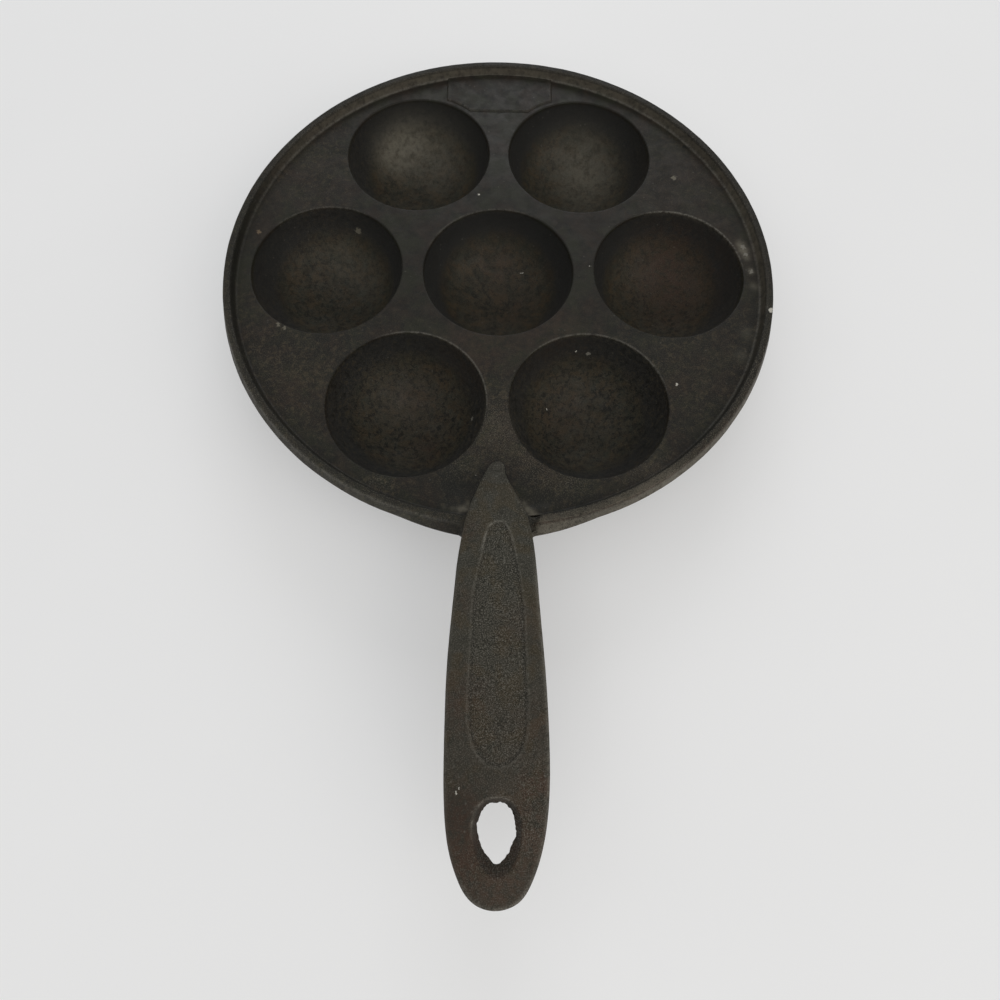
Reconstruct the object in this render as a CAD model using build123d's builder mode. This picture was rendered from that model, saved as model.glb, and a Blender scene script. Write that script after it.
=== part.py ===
"""A cast-iron pan for filled ball pancakes: seven round cups in a flat deck with a low rim, and
one flat handle whose root runs over the rim and ends in a pointed tongue on the deck.

The pan is one casting. It is divided where its shapes meet, so the deck, the rim, each cup, the
handle and the bare plaque are separate solids that touch face to face.

Millimetres, +Z up. The origin is on the surface that the pan stands on, under the centre cup.
The handle points along -Y.
"""

import os
from math import asin, atan2, degrees, sqrt

from build123d import *

# Cups: the bowl is part of a sphere, and so is its outside, which is cut flat at the foot. The
# outer cups stand round the centre one, as far from it as from each other.
cup_mouth_radius = 29.0
cup_depth = 27.0
cup_wall = 3.4
cup_collar_width = 2.0
cup_lip_round = 0.9
cup_foot_cut = 0.8
cup_web_width = 4.2
outer_cup_names = [
    "cup_right",
    "cup_back_right",
    "cup_back_left",
    "cup_left",
    "cup_front_left",
    "cup_front_right",
]

# Deck: the flat plate that the cups hang from, with an edge between the outer cups and the rim.
deck_thickness = 4.0
deck_edge_width = 3.6

# Rim: a low wall round the deck, whose outer face spreads downwards and turns under. Its circle
# lies a little to the right of the cups.
rim_side_shift = 0.4
rim_foot_fillet = 1.0
rim_height = 3.7
rim_slope_width = 1.2
rim_top_width = 2.5
rim_spread = 1.5
rim_spread_height = 5.3
rim_turn_under = 1.6
rim_edge_round = 0.7

# Shoulders: below the rim's edge the outer face swells towards the handle, on both sides of it.
shoulder_swell = 2.3
shoulder_half_span = 34.0
shoulder_height = 3.4

# Handle: the tongue reaches in from the rim's foot. Lengths along the handle start at its tip.
tongue_length = 19.8
root_length = 31.0
handle_length = 137.3
handle_half_width = 15.65
handle_rise = 11.4
handle_thickness = 8.8
handle_edge_round = 1.5
handle_under_round = 1.2
under_curve_clearance = 0.3
under_curve_end_length = 55.0
edge_round_limit_share = 0.68

# The outline from above, one side: shares of the handle's length and of its half width.
outline_shares = [
    (0.000, 0.000),
    (0.008, 0.140),
    (0.035, 0.235),
    (0.096, 0.452),
    (0.153, 0.645),
    (0.207, 0.755),
    (0.260, 0.810),
    (0.363, 0.876),
    (0.508, 0.965),
    (0.677, 1.000),
    (0.804, 0.955),
    (0.890, 0.810),
    (0.945, 0.610),
    (0.982, 0.370),
    (1.000, 0.000),
]

# The top line from the side, drawn past both ends: shares of the handle's length and of its rise.
top_line_shares = [
    (-0.06, -0.20),
    (0.00, 0.20),
    (0.05, 0.44),
    (0.10, 0.58),
    (0.17, 0.69),
    (0.32, 0.81),
    (0.62, 0.92),
    (1.06, 1.01),
]

# Hanging hole: a narrow throat between two wider mouths, all egg-shaped.
hole_end_margin = 20.9
hole_side_shift = 0.6
hole_half_width = 5.8
hole_blunt_length = 6.9
hole_point_length = 9.8
hole_mouth_margin = 1.5
hole_throat_height = 1.2

# Panel: a shallow sunk field along the handle, wider towards the hole and round at both ends.
panel_start_length = 23.5
panel_end_margin = 37.1
panel_start_half_width = 6.5
panel_end_half_width = 9.2
panel_depth = 0.6

# Plaque: a thin bare plate on the deck, against the rim opposite the handle.
plaque_half_width = 22.4
plaque_length = 20.4
plaque_height = 0.5

overrun = 10.0

# Sizes that follow from the ones above.
deck_top = cup_depth + cup_wall - cup_foot_cut
deck_under = deck_top - deck_thickness
bowl_radius = (cup_mouth_radius**2 + cup_depth**2) / (2 * cup_depth)
shell_radius = bowl_radius + cup_wall
shell_centre_height = shell_radius - cup_foot_cut
shell_top_radius = sqrt(shell_radius**2 - (shell_centre_height - deck_under) ** 2)
shell_foot_radius = sqrt(shell_radius**2 - shell_centre_height**2)
collar_radius = cup_mouth_radius + cup_collar_width
cup_pitch_radius = 2 * collar_radius + cup_web_width
rim_foot_radius = cup_pitch_radius + collar_radius + deck_edge_width
rim_centre = Vector(rim_side_shift, 0)
seam_radius = rim_foot_radius - rim_foot_fillet
rim_top = deck_top + rim_height
rim_inner_radius = rim_foot_radius + rim_slope_width
rim_outer_radius = rim_inner_radius + rim_top_width
rim_widest_radius = rim_outer_radius + rim_spread
rim_widest_height = rim_top - rim_spread_height
root_tip_distance = rim_foot_radius - tongue_length
root_split_distance = root_tip_distance + root_length
handle_end_distance = root_tip_distance + handle_length
under_curve_start_distance = rim_widest_radius + shoulder_swell + under_curve_clearance
under_curve_end_distance = root_tip_distance + under_curve_end_length
hole_distance = handle_end_distance - hole_end_margin
panel_start_distance = root_tip_distance + panel_start_length
panel_end_distance = handle_end_distance - panel_end_margin
plaque_near_distance = rim_foot_radius - plaque_length
tip_length_share, tip_width_share = outline_shares[1]
tip_width = tip_width_share * handle_half_width
tip_radius = tip_width**2 / (2 * tip_length_share * handle_length)
shoulder_half_angle = degrees(asin(shoulder_half_span / rim_widest_radius))
shoulder_taper = degrees(atan2(shoulder_swell, shoulder_height))
hole_funnel_height = (handle_thickness - hole_throat_height) / 2

os.makedirs("parts", exist_ok=True)


def save(piece, name):
    """Labels a finished solid and writes it under its name."""
    piece.label = name
    export_step(piece, f"parts/{name}.step")


def on_ring(radius, angle):
    """A point on a circle round the origin, with the angle measured from +X."""
    return Vector(radius, 0).rotate(Axis.Z, angle)


def top_line_points(drop):
    """Points (Y, Z) along the handle's top line, lowered by a drop."""
    points = []
    for length_share, rise_share in top_line_shares:
        distance = root_tip_distance + length_share * handle_length
        points.append((-distance, deck_top + rise_share * handle_rise - drop))
    return points


def top_height_at(distance):
    """The height of the handle's top, on straight lines between the points of its top line."""
    points = top_line_points(0)
    for (near_y, near_z), (far_y, far_z) in zip(points, points[1:]):
        if near_y >= -distance >= far_y:
            return near_z + (far_z - near_z) * (near_y + distance) / (near_y - far_y)
    return deck_top + handle_rise


# Places of the cups' axes, the centre first and then round from +X.
cup_places = {"cup_centre": Vector(0, 0)}
for index, cup_name in enumerate(outer_cup_names):
    cup_places[cup_name] = on_ring(cup_pitch_radius, index * 360 / len(outer_cup_names))

# Cups
for cup_name, place in cup_places.items():
    with BuildPart() as cup:
        with BuildSketch(Plane(origin=place, x_dir=(1, 0, 0), z_dir=(0, -1, 0))) as cup_section:
            with BuildLine():
                bowl = RadiusArc((0, deck_top - cup_depth), (cup_mouth_radius, deck_top), -bowl_radius)
                collar = Polyline(
                    bowl @ 1,
                    (collar_radius, deck_top),
                    (collar_radius, deck_under),
                    (shell_top_radius, deck_under),
                )
                shell = RadiusArc(collar @ 1, (shell_foot_radius, 0), shell_radius)
                Polyline(shell @ 1, (0, 0), bowl @ 0)
            make_face()
            lip = cup_section.vertices().sort_by_distance((cup_mouth_radius, deck_top))[0]
            fillet(lip, cup_lip_round)
        revolve(axis=Axis(place, (0, 0, 1)))
    save(cup.part, cup_name)

# Deck
with BuildPart() as deck:
    with BuildSketch(Plane.XY.offset(deck_under)):
        with Locations(rim_centre):
            Circle(seam_radius)
        with Locations(*cup_places.values()):
            Circle(collar_radius, mode=Mode.SUBTRACT)
    extrude(amount=deck_thickness)
save(deck.part, "deck")

# Panel: the space that is sunk into the handle's top
with BuildPart() as panel_space:
    with BuildSketch(Plane.YZ.offset(-handle_half_width)):
        with BuildLine():
            panel_floor = Spline(*top_line_points(panel_depth))
            Polyline(
                panel_floor @ 1,
                (-handle_end_distance, deck_top + handle_rise + overrun),
                (-root_tip_distance, deck_top + handle_rise + overrun),
                panel_floor @ 0,
            )
        make_face()
    extrude(amount=2 * handle_half_width)
    with BuildSketch(Plane.XY.offset(deck_top)):
        with Locations((0, -panel_start_distance - panel_start_half_width)):
            Circle(panel_start_half_width)
        with Locations((0, -panel_end_distance + panel_end_half_width)):
            Circle(panel_end_half_width)
        make_hull()
    extrude(amount=handle_rise + overrun, mode=Mode.INTERSECT)

# Hanging hole: the space of its throat and of the two funnels, each drawn past the handle's face
hole_middle_height = top_height_at(hole_distance) - handle_thickness / 2
throat_end = hole_throat_height / 2
funnel_end = throat_end + 2 * hole_funnel_height
with BuildPart() as hole_space:
    for height in (-funnel_end, -throat_end, throat_end, funnel_end):
        margin = (abs(height) - throat_end) * hole_mouth_margin / hole_funnel_height
        with BuildSketch(Plane.XY.offset(hole_middle_height + height)):
            with BuildLine():
                centre = (hole_side_shift, -hole_distance)
                half_width = hole_half_width + margin
                EllipticalCenterArc(centre, half_width, hole_blunt_length + margin, 0, arc_size=180)
                EllipticalCenterArc(centre, half_width, hole_point_length + margin, 180, arc_size=180)
            make_face()
    loft(ruled=True)

# Handle: one bar, drawn from the side and trimmed to its outline from above
right_side = []
for length_share, width_share in outline_shares:
    distance = root_tip_distance + length_share * handle_length
    right_side.append((width_share * handle_half_width, -distance))
left_side = [(-x, y) for x, y in reversed(right_side[1:-1])]
outline_points = right_side + left_side
with BuildPart() as bar:
    with BuildSketch(Plane.YZ.offset(-handle_half_width - overrun)):
        with BuildLine():
            top_line = Spline(*top_line_points(0))
            under_points = top_line_points(handle_thickness)[-2:]
            under_height = top_height_at(under_curve_end_distance) - handle_thickness
            under_line = Spline(
                (-under_curve_start_distance, deck_under),
                (-under_curve_end_distance, under_height),
                *under_points,
            )
            Polyline(top_line @ 1, under_line @ 1)
            Polyline(under_line @ 0, (top_line_points(0)[0][0], deck_under), top_line @ 0)
        make_face()
    extrude(amount=2 * (handle_half_width + overrun))
    with BuildSketch(Plane.XY):
        with BuildLine():
            Spline(*outline_points, periodic=True)
        make_face()
    extrude(amount=deck_top + handle_rise + overrun, mode=Mode.INTERSECT)
    under_face = bar.faces().filter_by(lambda face: face.normal_at().Z < 0).sort_by(Axis.Z)[-1]
    fillet(under_face.edges().sort_by(SortBy.LENGTH)[-1], handle_under_round)
    top_face = bar.faces().sort_by(Axis.Z)[-1]
    fillet(top_face.edges(), min(handle_edge_round, edge_round_limit_share * tip_radius))
    add(panel_space.part, mode=Mode.SUBTRACT)
    add(hole_space.part, mode=Mode.SUBTRACT)

# Rim: a ring with two shoulders, notched where the handle's root runs through it
with BuildPart() as rim:
    with BuildSketch(Plane(origin=rim_centre, x_dir=(1, 0, 0), z_dir=(0, -1, 0))) as rim_section:
        with BuildLine():
            Polyline(
                (seam_radius, deck_under),
                (rim_widest_radius - rim_turn_under, deck_under),
                (rim_widest_radius, rim_widest_height),
                (rim_outer_radius, rim_top),
                (rim_inner_radius, rim_top),
                (rim_foot_radius, deck_top),
                (seam_radius, deck_top),
                close=True,
            )
        make_face()
        corners = rim_section.vertices()
        fillet(corners.sort_by_distance((rim_foot_radius, deck_top))[0], rim_foot_fillet)
        fillet(rim_section.vertices().group_by(Axis.Y)[-1], rim_edge_round)
        widest_corner = rim_section.vertices().sort_by(Axis.X)[-1]
        fillet(widest_corner, rim_turn_under)
    revolve(axis=Axis(rim_centre, (0, 0, 1)))
    with BuildSketch(Plane((rim_side_shift, 0, deck_under))):
        with BuildLine():
            swell = ThreePointArc(
                on_ring(rim_widest_radius, 270 - shoulder_half_angle),
                (0, -rim_widest_radius - shoulder_swell),
                on_ring(rim_widest_radius, 270 + shoulder_half_angle),
            )
            Line(swell @ 0, swell @ 1)
        make_face()
    extrude(amount=shoulder_height, taper=shoulder_taper)
    add(bar.part, mode=Mode.SUBTRACT)
save(rim.part, "rim")

# Handle's root: the bar as far as the grip, seated on the deck and in the rim's notch
root_end = Plane.XZ.offset(root_split_distance)
with BuildPart() as handle_root:
    add(bar.part)
    split(bisect_by=root_end, keep=Keep.BOTTOM)
    with BuildSketch(Plane.XY.offset(deck_top)):
        with Locations(rim_centre):
            Circle(seam_radius)
    extrude(amount=-deck_thickness - overrun, mode=Mode.SUBTRACT)
save(handle_root.part, "handle_root")

# Grip
with BuildPart() as handle:
    add(bar.part)
    split(bisect_by=root_end, keep=Keep.TOP)
save(handle.part, "handle")

# Plaque
with BuildPart() as plaque:
    with BuildSketch(Plane.XY.offset(deck_top)):
        with Locations((0, plaque_near_distance)):
            Rectangle(
                2 * plaque_half_width,
                rim_outer_radius - plaque_near_distance,
                align=(Align.CENTER, Align.MIN),
            )
        with Locations(rim_centre):
            Circle(rim_foot_radius, mode=Mode.INTERSECT)
        with Locations(*cup_places.values()):
            Circle(collar_radius, mode=Mode.SUBTRACT)
    extrude(amount=plaque_height)
    add(rim.part, mode=Mode.SUBTRACT)
save(plaque.part, "plaque")
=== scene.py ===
"""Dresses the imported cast-iron ball pancake pan and sets it on a pale floor in soft light.

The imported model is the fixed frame. Each operator below makes one piece of the pan, or the stage,
as closed meshes in metres in that frame: +Z up, the handle along -Y, the origin on the floor
under the centre cup. The iron's colour, gloss and grain are worked out in its material's nodes.
"""

import math

import bmesh
import bpy
import numpy as np
from mathutils import Matrix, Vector
from mathutils.geometry import delaunay_2d_cdt


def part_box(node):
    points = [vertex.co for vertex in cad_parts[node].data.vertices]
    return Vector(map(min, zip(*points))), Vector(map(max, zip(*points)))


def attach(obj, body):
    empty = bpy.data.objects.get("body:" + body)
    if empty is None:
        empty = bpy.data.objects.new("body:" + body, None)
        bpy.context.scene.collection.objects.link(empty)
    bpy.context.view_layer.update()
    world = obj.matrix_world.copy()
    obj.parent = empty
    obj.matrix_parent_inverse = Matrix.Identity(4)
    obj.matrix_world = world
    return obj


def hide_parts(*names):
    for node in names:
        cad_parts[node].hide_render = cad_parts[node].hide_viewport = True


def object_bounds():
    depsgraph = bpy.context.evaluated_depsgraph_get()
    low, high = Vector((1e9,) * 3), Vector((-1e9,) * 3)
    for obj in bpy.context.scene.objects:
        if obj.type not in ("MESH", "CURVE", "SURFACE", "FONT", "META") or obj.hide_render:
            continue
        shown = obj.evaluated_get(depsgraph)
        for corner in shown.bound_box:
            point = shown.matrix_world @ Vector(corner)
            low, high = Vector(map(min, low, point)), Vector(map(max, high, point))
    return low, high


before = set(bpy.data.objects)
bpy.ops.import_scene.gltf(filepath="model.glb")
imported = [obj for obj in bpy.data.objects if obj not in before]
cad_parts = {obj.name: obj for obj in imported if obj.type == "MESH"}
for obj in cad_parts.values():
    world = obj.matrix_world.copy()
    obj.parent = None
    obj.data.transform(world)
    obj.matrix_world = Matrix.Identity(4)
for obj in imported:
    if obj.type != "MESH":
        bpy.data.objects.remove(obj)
cad_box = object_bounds()

bl_info = {
    "name": "Ball Pancake Pan",
    "version": (1, 0, 0),
    "blender": (4, 5, 0),
    "location": "3D View > Sidebar > Pan",
    "description": "Makes the pan's iron pieces around the packed model, and their stage",
    "category": "Add Mesh",
}

MM = 0.001
FULL_TURN = 2 * math.pi
HANDLE_ANGLE = 1.5 * math.pi
SHARP_ANGLE = math.radians(38.0)
MERGE_DISTANCE = 0.002 * MM

CUP_NAMES = (
    "cup_right",
    "cup_back_right",
    "cup_back_left",
    "cup_left",
    "cup_front_left",
    "cup_front_right",
)

# The painted highlight on part of a cup's lip: the direction of its middle and half its span in
# degrees, and its strength. The other cups have none.
LIP_HIGHLIGHTS = {
    "cup_right": (58, 62, 0.75),
    "cup_front_left": (52, 70, 0.60),
    "cup_front_right": (75, 75, 0.50),
    "cup_left": (100, 45, 0.30),
    "cup_centre": (110, 60, 0.30),
}
NO_LIP_HIGHLIGHT = (0, 180, 0.0)

# The rim's section: how far its widest place lies under its top, how far it turns in below that,
# and the roundings of its corners, from the deck over the top to the underside.
RIM_WAIST = 5.3 * MM
RIM_TUCK = 1.6 * MM
RIM_ROUNDINGS = (1.0 * MM, 0.7 * MM, 0.7 * MM, 1.6 * MM, 0.9 * MM)

# The rim at the handle: half of the gap that the handle fills, how far the finer points go beside
# it, how far the shoulders reach to each side, the radius of the hollow between rim and handle,
# and where the notch to the right of the handle ends and how deep it is.
RIM_GAP = math.radians(5.0)
RIM_FINE = math.radians(14.0)
SHOULDER_REACH = 36.0 * MM
COVE = 2.4 * MM
NOTCH_END = 15.8 * MM
NOTCH_DEPTH = 1.9 * MM

# Shallow hollows in the deck beside the tongue: their middles and radii in millimetres.
DECK_DIPS = (((14.5, -94.0), 5.0), ((-12.5, -90.0), 5.5))
DECK_DIP_DEPTH = 0.8 * MM

# The plaque's section from under its edge to its top: millimetres outwards, share of its height.
PLAQUE_SECTION = (
    (-0.90, -1.00),
    (0.35, -0.25),
    (0.12, 0.22),
    (-0.12, 0.72),
    (-0.40, 0.95),
    (-0.75, 1.00),
)

# The handle's outline from above: shares of its length, and of its half width to left and right.
OUTLINE_SHARES = (
    (0.000, 0.000, 0.000),
    (0.006, 0.110, 0.130),
    (0.035, 0.262, 0.180),
    (0.066, 0.375, 0.290),
    (0.097, 0.475, 0.425),
    (0.126, 0.575, 0.560),
    (0.154, 0.645, 0.650),
    (0.181, 0.695, 0.715),
    (0.208, 0.735, 0.757),
    (0.260, 0.800, 0.812),
    (0.363, 0.876, 0.876),
    (0.508, 0.962, 0.968),
    (0.677, 0.975, 1.028),
    (0.804, 0.945, 0.997),
    (0.890, 0.838, 0.868),
    (0.945, 0.665, 0.692),
    (0.982, 0.440, 0.470),
    (1.000, -0.015, 0.015),
)

# The handle's top line from the side: shares of its length and of its rise.
TOP_LINE_SHARES = (
    (-0.06, -0.20),
    (0.00, 0.20),
    (0.05, 0.44),
    (0.10, 0.58),
    (0.17, 0.69),
    (0.32, 0.81),
    (0.62, 0.92),
    (1.06, 1.01),
)

# The panel's outline from above: distances from the pan's axis, and how far the left and the right
# side lie to the right of it, in millimetres.
PANEL_LINE = (
    (105.0, 0.9, 0.9),
    (105.5, -0.8, 2.3),
    (106.8, -2.1, 3.3),
    (110.0, -3.4, 4.6),
    (113.5, -4.1, 5.4),
    (117.0, -4.8, 6.1),
    (121.0, -5.6, 6.9),
    (126.7, -6.8, 8.0),
    (141.0, -7.6, 8.9),
    (160.0, -8.3, 9.6),
    (171.0, -7.7, 9.3),
    (176.5, -5.8, 7.7),
    (179.8, -2.8, 4.6),
    (181.0, 0.8, 0.8),
)

# The handle's underside: where it leaves the deck's underside, a knot between, and where it runs
# along the handle, as distances from the pan's axis; how high the knot lies; and the radius inside
# which the tongue sits in the deck.
UNDER_KNOTS = (108.6 * MM, 122.0 * MM, 136.0 * MM)
UNDER_RISE = 1.15 * MM
SEAT_RADIUS = 99.4 * MM

# The handle's sides: the radius from the pan's axis at which they leave the rim, over how much,
# the radius of the hollow foot on the deck and rim, and the ridge along the parting line.
SEAT_END = 106.0 * MM
SEAT_FADE = 2.4 * MM
FOOT = 1.3 * MM
RIDGE = 0.12 * MM

# The hanging hole: its middle, the points round it, and its profile from the upper mouth through
# the throat to the lower mouth, as a margin in millimetres, a share of half the handle's
# thickness, and raggedness in millimetres.
HOLE_MIDDLE = (0.6 * MM, -197.4 * MM)
HOLE_COUNT = 132
HOLE_PROFILE = (
    (2.10, 1.000, 0.00),
    (1.85, 0.985, 0.00),
    (1.60, 0.940, 0.00),
    (1.40, 0.860, 0.00),
    (1.15, 0.700, 0.05),
    (0.80, 0.480, 0.12),
    (0.35, 0.250, 0.25),
    (0.00, 0.120, 0.38),
    (0.00, -0.120, 0.38),
    (0.35, -0.250, 0.25),
    (0.90, -0.550, 0.10),
    (1.40, -0.840, 0.00),
    (1.60, -0.930, 0.00),
    (1.85, -0.985, 0.00),
    (2.10, -1.000, 0.00),
)

# The lights: a name, which is also that of its power, its direction and height in degrees, its
# distance, its width and height in metres, and its tint. They face one point.
LIGHTS = (
    ("window", 3, 30, 2.2, (1.3, 0.8), (0.95, 0.97, 1.0)),
    ("lamp", 124, 36, 2.0, (1.8, 1.3), (1.0, 0.95, 0.88)),
    ("ceiling", 180, 57, 2.2, (2.7, 1.9), (1.0, 0.985, 0.955)),
    ("side", -75, 48, 2.0, (1.0, 1.0), (0.95, 0.98, 1.0)),
)
LIGHTS_TARGET = (0.0, -0.05, 0.0)
FLOOR_HALF = 3.0

# The camera: its elevation, yaw and roll in degrees, the point on the deck's level that it faces,
# its distance from there, and its lens and sensor in millimetres.
CAMERA_ANGLES = (70.13, -2.03, 2.444)
CAMERA_TARGET = (1.122 * MM, -94.579 * MM)
CAMERA_DISTANCE = 255.402 * MM
CAMERA_LENS = 26.741
CAMERA_SENSOR = 36.0

# Places where the iron changes: what changes there, by how much, and the place and its radius in
# millimetres. Amounts below zero take away. Some are painted highlights and shade, noted below.
MARKS = (
    # The next three: a painted reflection, a pale patch in the back left cup.
    ("pale", 1.00, (-47, 74, 12), 8.0),
    ("pale", 0.60, (-39, 79, 15), 9.0),
    ("pale", 0.44, (-29, 74, 10), 15.0),
    # The next two: a painted reflection in the back right cup.
    ("pale", 0.50, (37, 76, 9), 12.0),
    ("pale", 0.52, (40, 63, 5), 13.0),
    ("pale", 0.24, (-64, 20, 11), 9.0),
    ("pale", 0.16, (-53, 9, 8), 9.0),
    ("pale", 0.14, (-38, -46, 5), 10.0),
    ("pale", 0.12, (34, -62, 4), 12.0),
    ("rust", 0.85, (70, 19, 10), 13.0),
    ("rust", 0.60, (76, 4, 5), 15.0),
    ("rust", 0.40, (-1, 17, 9), 10.0),
    ("rust", 0.30, (8, -2, 6), 12.0),
    ("rust", 0.45, (-34, -45, 6), 9.0),
    ("rust", 0.60, (-26, -66, 4), 6.0),
    ("rust", 0.35, (26, -50, 7), 10.0),
    ("rust", 0.35, (-6, -34, 30), 16.0),
    ("rust", 0.30, (22, -26, 30), 12.0),
    ("rust", 0.30, (-72, -52, 30), 12.0),
    ("rust", 0.22, (74, -46, 30), 16.0),
    ("rust", 0.30, (76, 50, 30), 18.0),
    # Painted shade that dims the deck's sheen on the far right.
    ("hollow", 0.25, (70, 50, 30), 18.0),
    ("rust", 0.18, (-80, 45, 30), 18.0),
    ("rust", 0.16, (-88, -20, 30), 16.0),
    ("rust", 0.18, (88, 8, 30), 14.0),
    ("rust", 0.16, (48, -88, 30), 14.0),
    ("sheen", 1.00, (2, 62, 30), 26.0),
    ("sheen", 0.75, (24, 26, 30), 20.0),
    ("sheen", 0.30, (-24, 24, 30), 18.0),
    ("sheen", 0.45, (93, -24, 30), 12.0),
    # The next five: a painted highlight streak along the rim's foot on the right.
    ("pale", 0.90, (95.6, 14.0, 30), 1.7),
    ("pale", 1.00, (96.4, 10.6, 30), 2.0),
    ("pale", 0.80, (97.2, 7.4, 30), 1.3),
    ("pale", 0.80, (98.3, 1.2, 30), 1.4),
    ("pale", 0.50, (98.8, -6.0, 30), 1.6),
    ("pale", 0.30, (94.5, -27.0, 30), 3.0),
    ("pale", 0.30, (91.0, -37.0, 30), 3.0),
    ("rust", 0.30, (0, -192, 40), 36.0),
    # The next eight: painted shade on the deck beside the tongue and along its foot.
    ("hollow", 0.90, (14.5, -94, 29.6), 5.0),
    ("hollow", 0.80, (-13.5, -90, 29.6), 5.5),
    ("hollow", 0.55, (30, -96, 30), 7.0),
    ("hollow", 0.50, (-18.0, -89, 29.6), 5.0),
    ("hollow", 0.50, (10.0, -87, 29.6), 3.5),
    ("hollow", 0.45, (-4.6, -84.4, 29.6), 1.6),
    ("hollow", 0.45, (4.6, -84.4, 29.6), 1.6),
    ("hollow", 0.50, (0, -81.6, 30.4), 1.8),
    ("hollow", 0.14, (0, -92, 34), 8.0),
    ("grit", 0.70, (-41, -89, 30), 5.0),
    ("grit", 0.26, (0, -78, 30), 45.0),
    ("grit", 0.34, (-78, -42, 30), 36.0),
    ("grit", 0.34, (78, -42, 30), 36.0),
    ("grit", 0.22, (-74, 50, 30), 30.0),
    ("grit", 0.22, (74, 50, 30), 26.0),
    ("hollow", 0.26, (80, -44, 30), 22.0),
    ("hollow", 0.26, (72, 54, 30), 20.0),
    ("grit", 0.60, (0, -66, 30), 12.0),
    ("grit", 0.80, (14, -80, 30), 7.0),
    ("grit", 0.60, (-14, -79, 30), 6.0),
    ("grit", 0.70, (26, -86, 30), 7.0),
    ("grit", 0.60, (52, -84, 30), 9.0),
    ("pale", 0.10, (0, -66, 30), 9.0),
    ("rust", 0.30, (0, -70, 30), 12.0),
    ("rust", 0.30, (18, -82, 30), 9.0),
    ("pale", 0.10, (56, -86, 30), 9.0),
    # The next twelve: painted highlights, bright crescents where the tongue's sides meet the rim's
    # foot, with the painted shade taken away there.
    ("hollow", -1.00, (11.4, -99.1, 30.4), 2.6),
    ("hollow", -1.00, (-11.6, -98.6, 30.4), 3.0),
    ("pale", 1.20, (9.5, -95.7, 29.9), 0.9),
    ("pale", 1.50, (10.4, -97.7, 30.1), 1.0),
    ("pale", 1.80, (11.6, -99.1, 30.3), 1.2),
    ("pale", 1.50, (13.4, -99.8, 30.3), 0.9),
    ("pale", 1.20, (15.0, -100.0, 30.3), 0.8),
    ("pale", 0.90, (-9.6, -95.6, 29.9), 0.9),
    ("pale", 1.50, (-10.6, -97.7, 30.1), 1.2),
    ("pale", 1.20, (-12.6, -98.3, 30.3), 1.3),
    ("pale", 0.90, (-15.2, -98.0, 30.3), 0.9),
    ("pale", 0.70, (-18.0, -97.4, 30.2), 0.8),
    ("grit", 0.35, (11.0, -186, 40), 8.0),
    ("grit", 0.40, (9.5, -198, 40), 6.0),
    ("grit", -0.50, (-10.5, -195, 40), 7.0),
    ("rust", 0.85, (-10.5, -196, 40), 8.0),
    ("rust", 0.80, (-9.0, -206, 40), 6.0),
    ("rust", 1.00, (12.0, -186, 40), 5.0),
    ("rust", 1.00, (10.0, -199, 40), 7.0),
    ("pale", 0.12, (10.5, -199, 40), 6.0),
    ("pale", 0.07, (0.0, -212, 40), 6.0),
    ("pale", 0.05, (9.0, -184, 40), 7.0),
    ("rust", 0.90, (2.0, -211, 40), 8.0),
    ("pale", 0.08, (6.0, -209, 40), 6.0),
    ("hollow", 0.30, (-11.0, -193, 40), 9.0),
    ("rust", 0.60, (-10.0, -108, 38), 4.5),
    ("rust", 0.50, (-11.0, -162, 40), 9.0),
    ("rust", 0.40, (-12.0, -132, 40), 6.0),
    ("rust", 0.35, (8.0, -140, 40), 8.0),
    ("rust", 0.40, (13.0, -168, 40), 7.0),
)

# Flecks: the colour's name, and the place and radius in millimetres.
FLECKS = (
    ("crumb", (102.4, -19.1, 33.3), 1.2),
    ("worn_and_highlight", (0.0, -80.9, 30.4), 0.7),
    ("worn_and_highlight", (-7.3, -85.2, 30.0), 0.6),
    ("worn_and_highlight", (-8.0, -87.9, 30.0), 0.6),
    ("worn_and_highlight", (-6.5, -83.6, 30.0), 0.4),
    # The next three: painted highlights in the streak along the rim's foot on the right.
    ("worn_and_highlight", (96.3, 12.5, 30.1), 1.3),
    ("worn_and_highlight", (97.1, 8.9, 30.1), 1.0),
    ("worn_and_highlight", (98.4, 1.0, 30.1), 1.0),
    ("dust_and_painted_light", (71.7, 46.3, 29.6), 1.2),
    ("black", (77.1, 62.7, 29.6), 1.1),
    ("crumb", (35.7, 2.5, 29.6), 0.45),
    ("crumb", (10.2, 14.5, 8.6), 0.5),
    ("crumb", (19.7, -48.4, 7.5), 0.45),
    ("crumb", (30.2, -30.4, 21.2), 0.55),
    ("worn_and_highlight", (34.9, -30.8, 19.9), 0.8),
    ("crumb", (65.6, -49.2, 29.6), 0.55),
    ("worn_and_highlight", (-9.5, -56.6, 14.7), 0.8),
    ("crumb", (-8.0, 36.2, 29.6), 0.6),
    ("crust", (-94.1, 16.5, 29.6), 1.0),
    ("dust_and_painted_light", (-57.5, 25.3, 20.3), 1.5),
    ("dust_and_painted_light", (-82.2, -25.6, 29.6), 0.8),
    ("dust_and_painted_light", (-79.8, -27.0, 29.6), 0.7),
    ("crumb", (-11.4, -188.0, 40.2), 0.5),
    ("crumb", (-10.5, -186.6, 40.2), 0.4),
)

deck_low, deck_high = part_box("deck")
rim_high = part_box("rim")[1]
plaque_low, plaque_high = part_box("plaque")


def length(name, description, default):
    """A size that the sidebar shows in the scene's units."""
    return bpy.props.FloatProperty(
        name=name,
        description=description,
        default=default,
        min=0.0,
        precision=5,
        subtype="DISTANCE",
        unit="LENGTH",
    )


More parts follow.
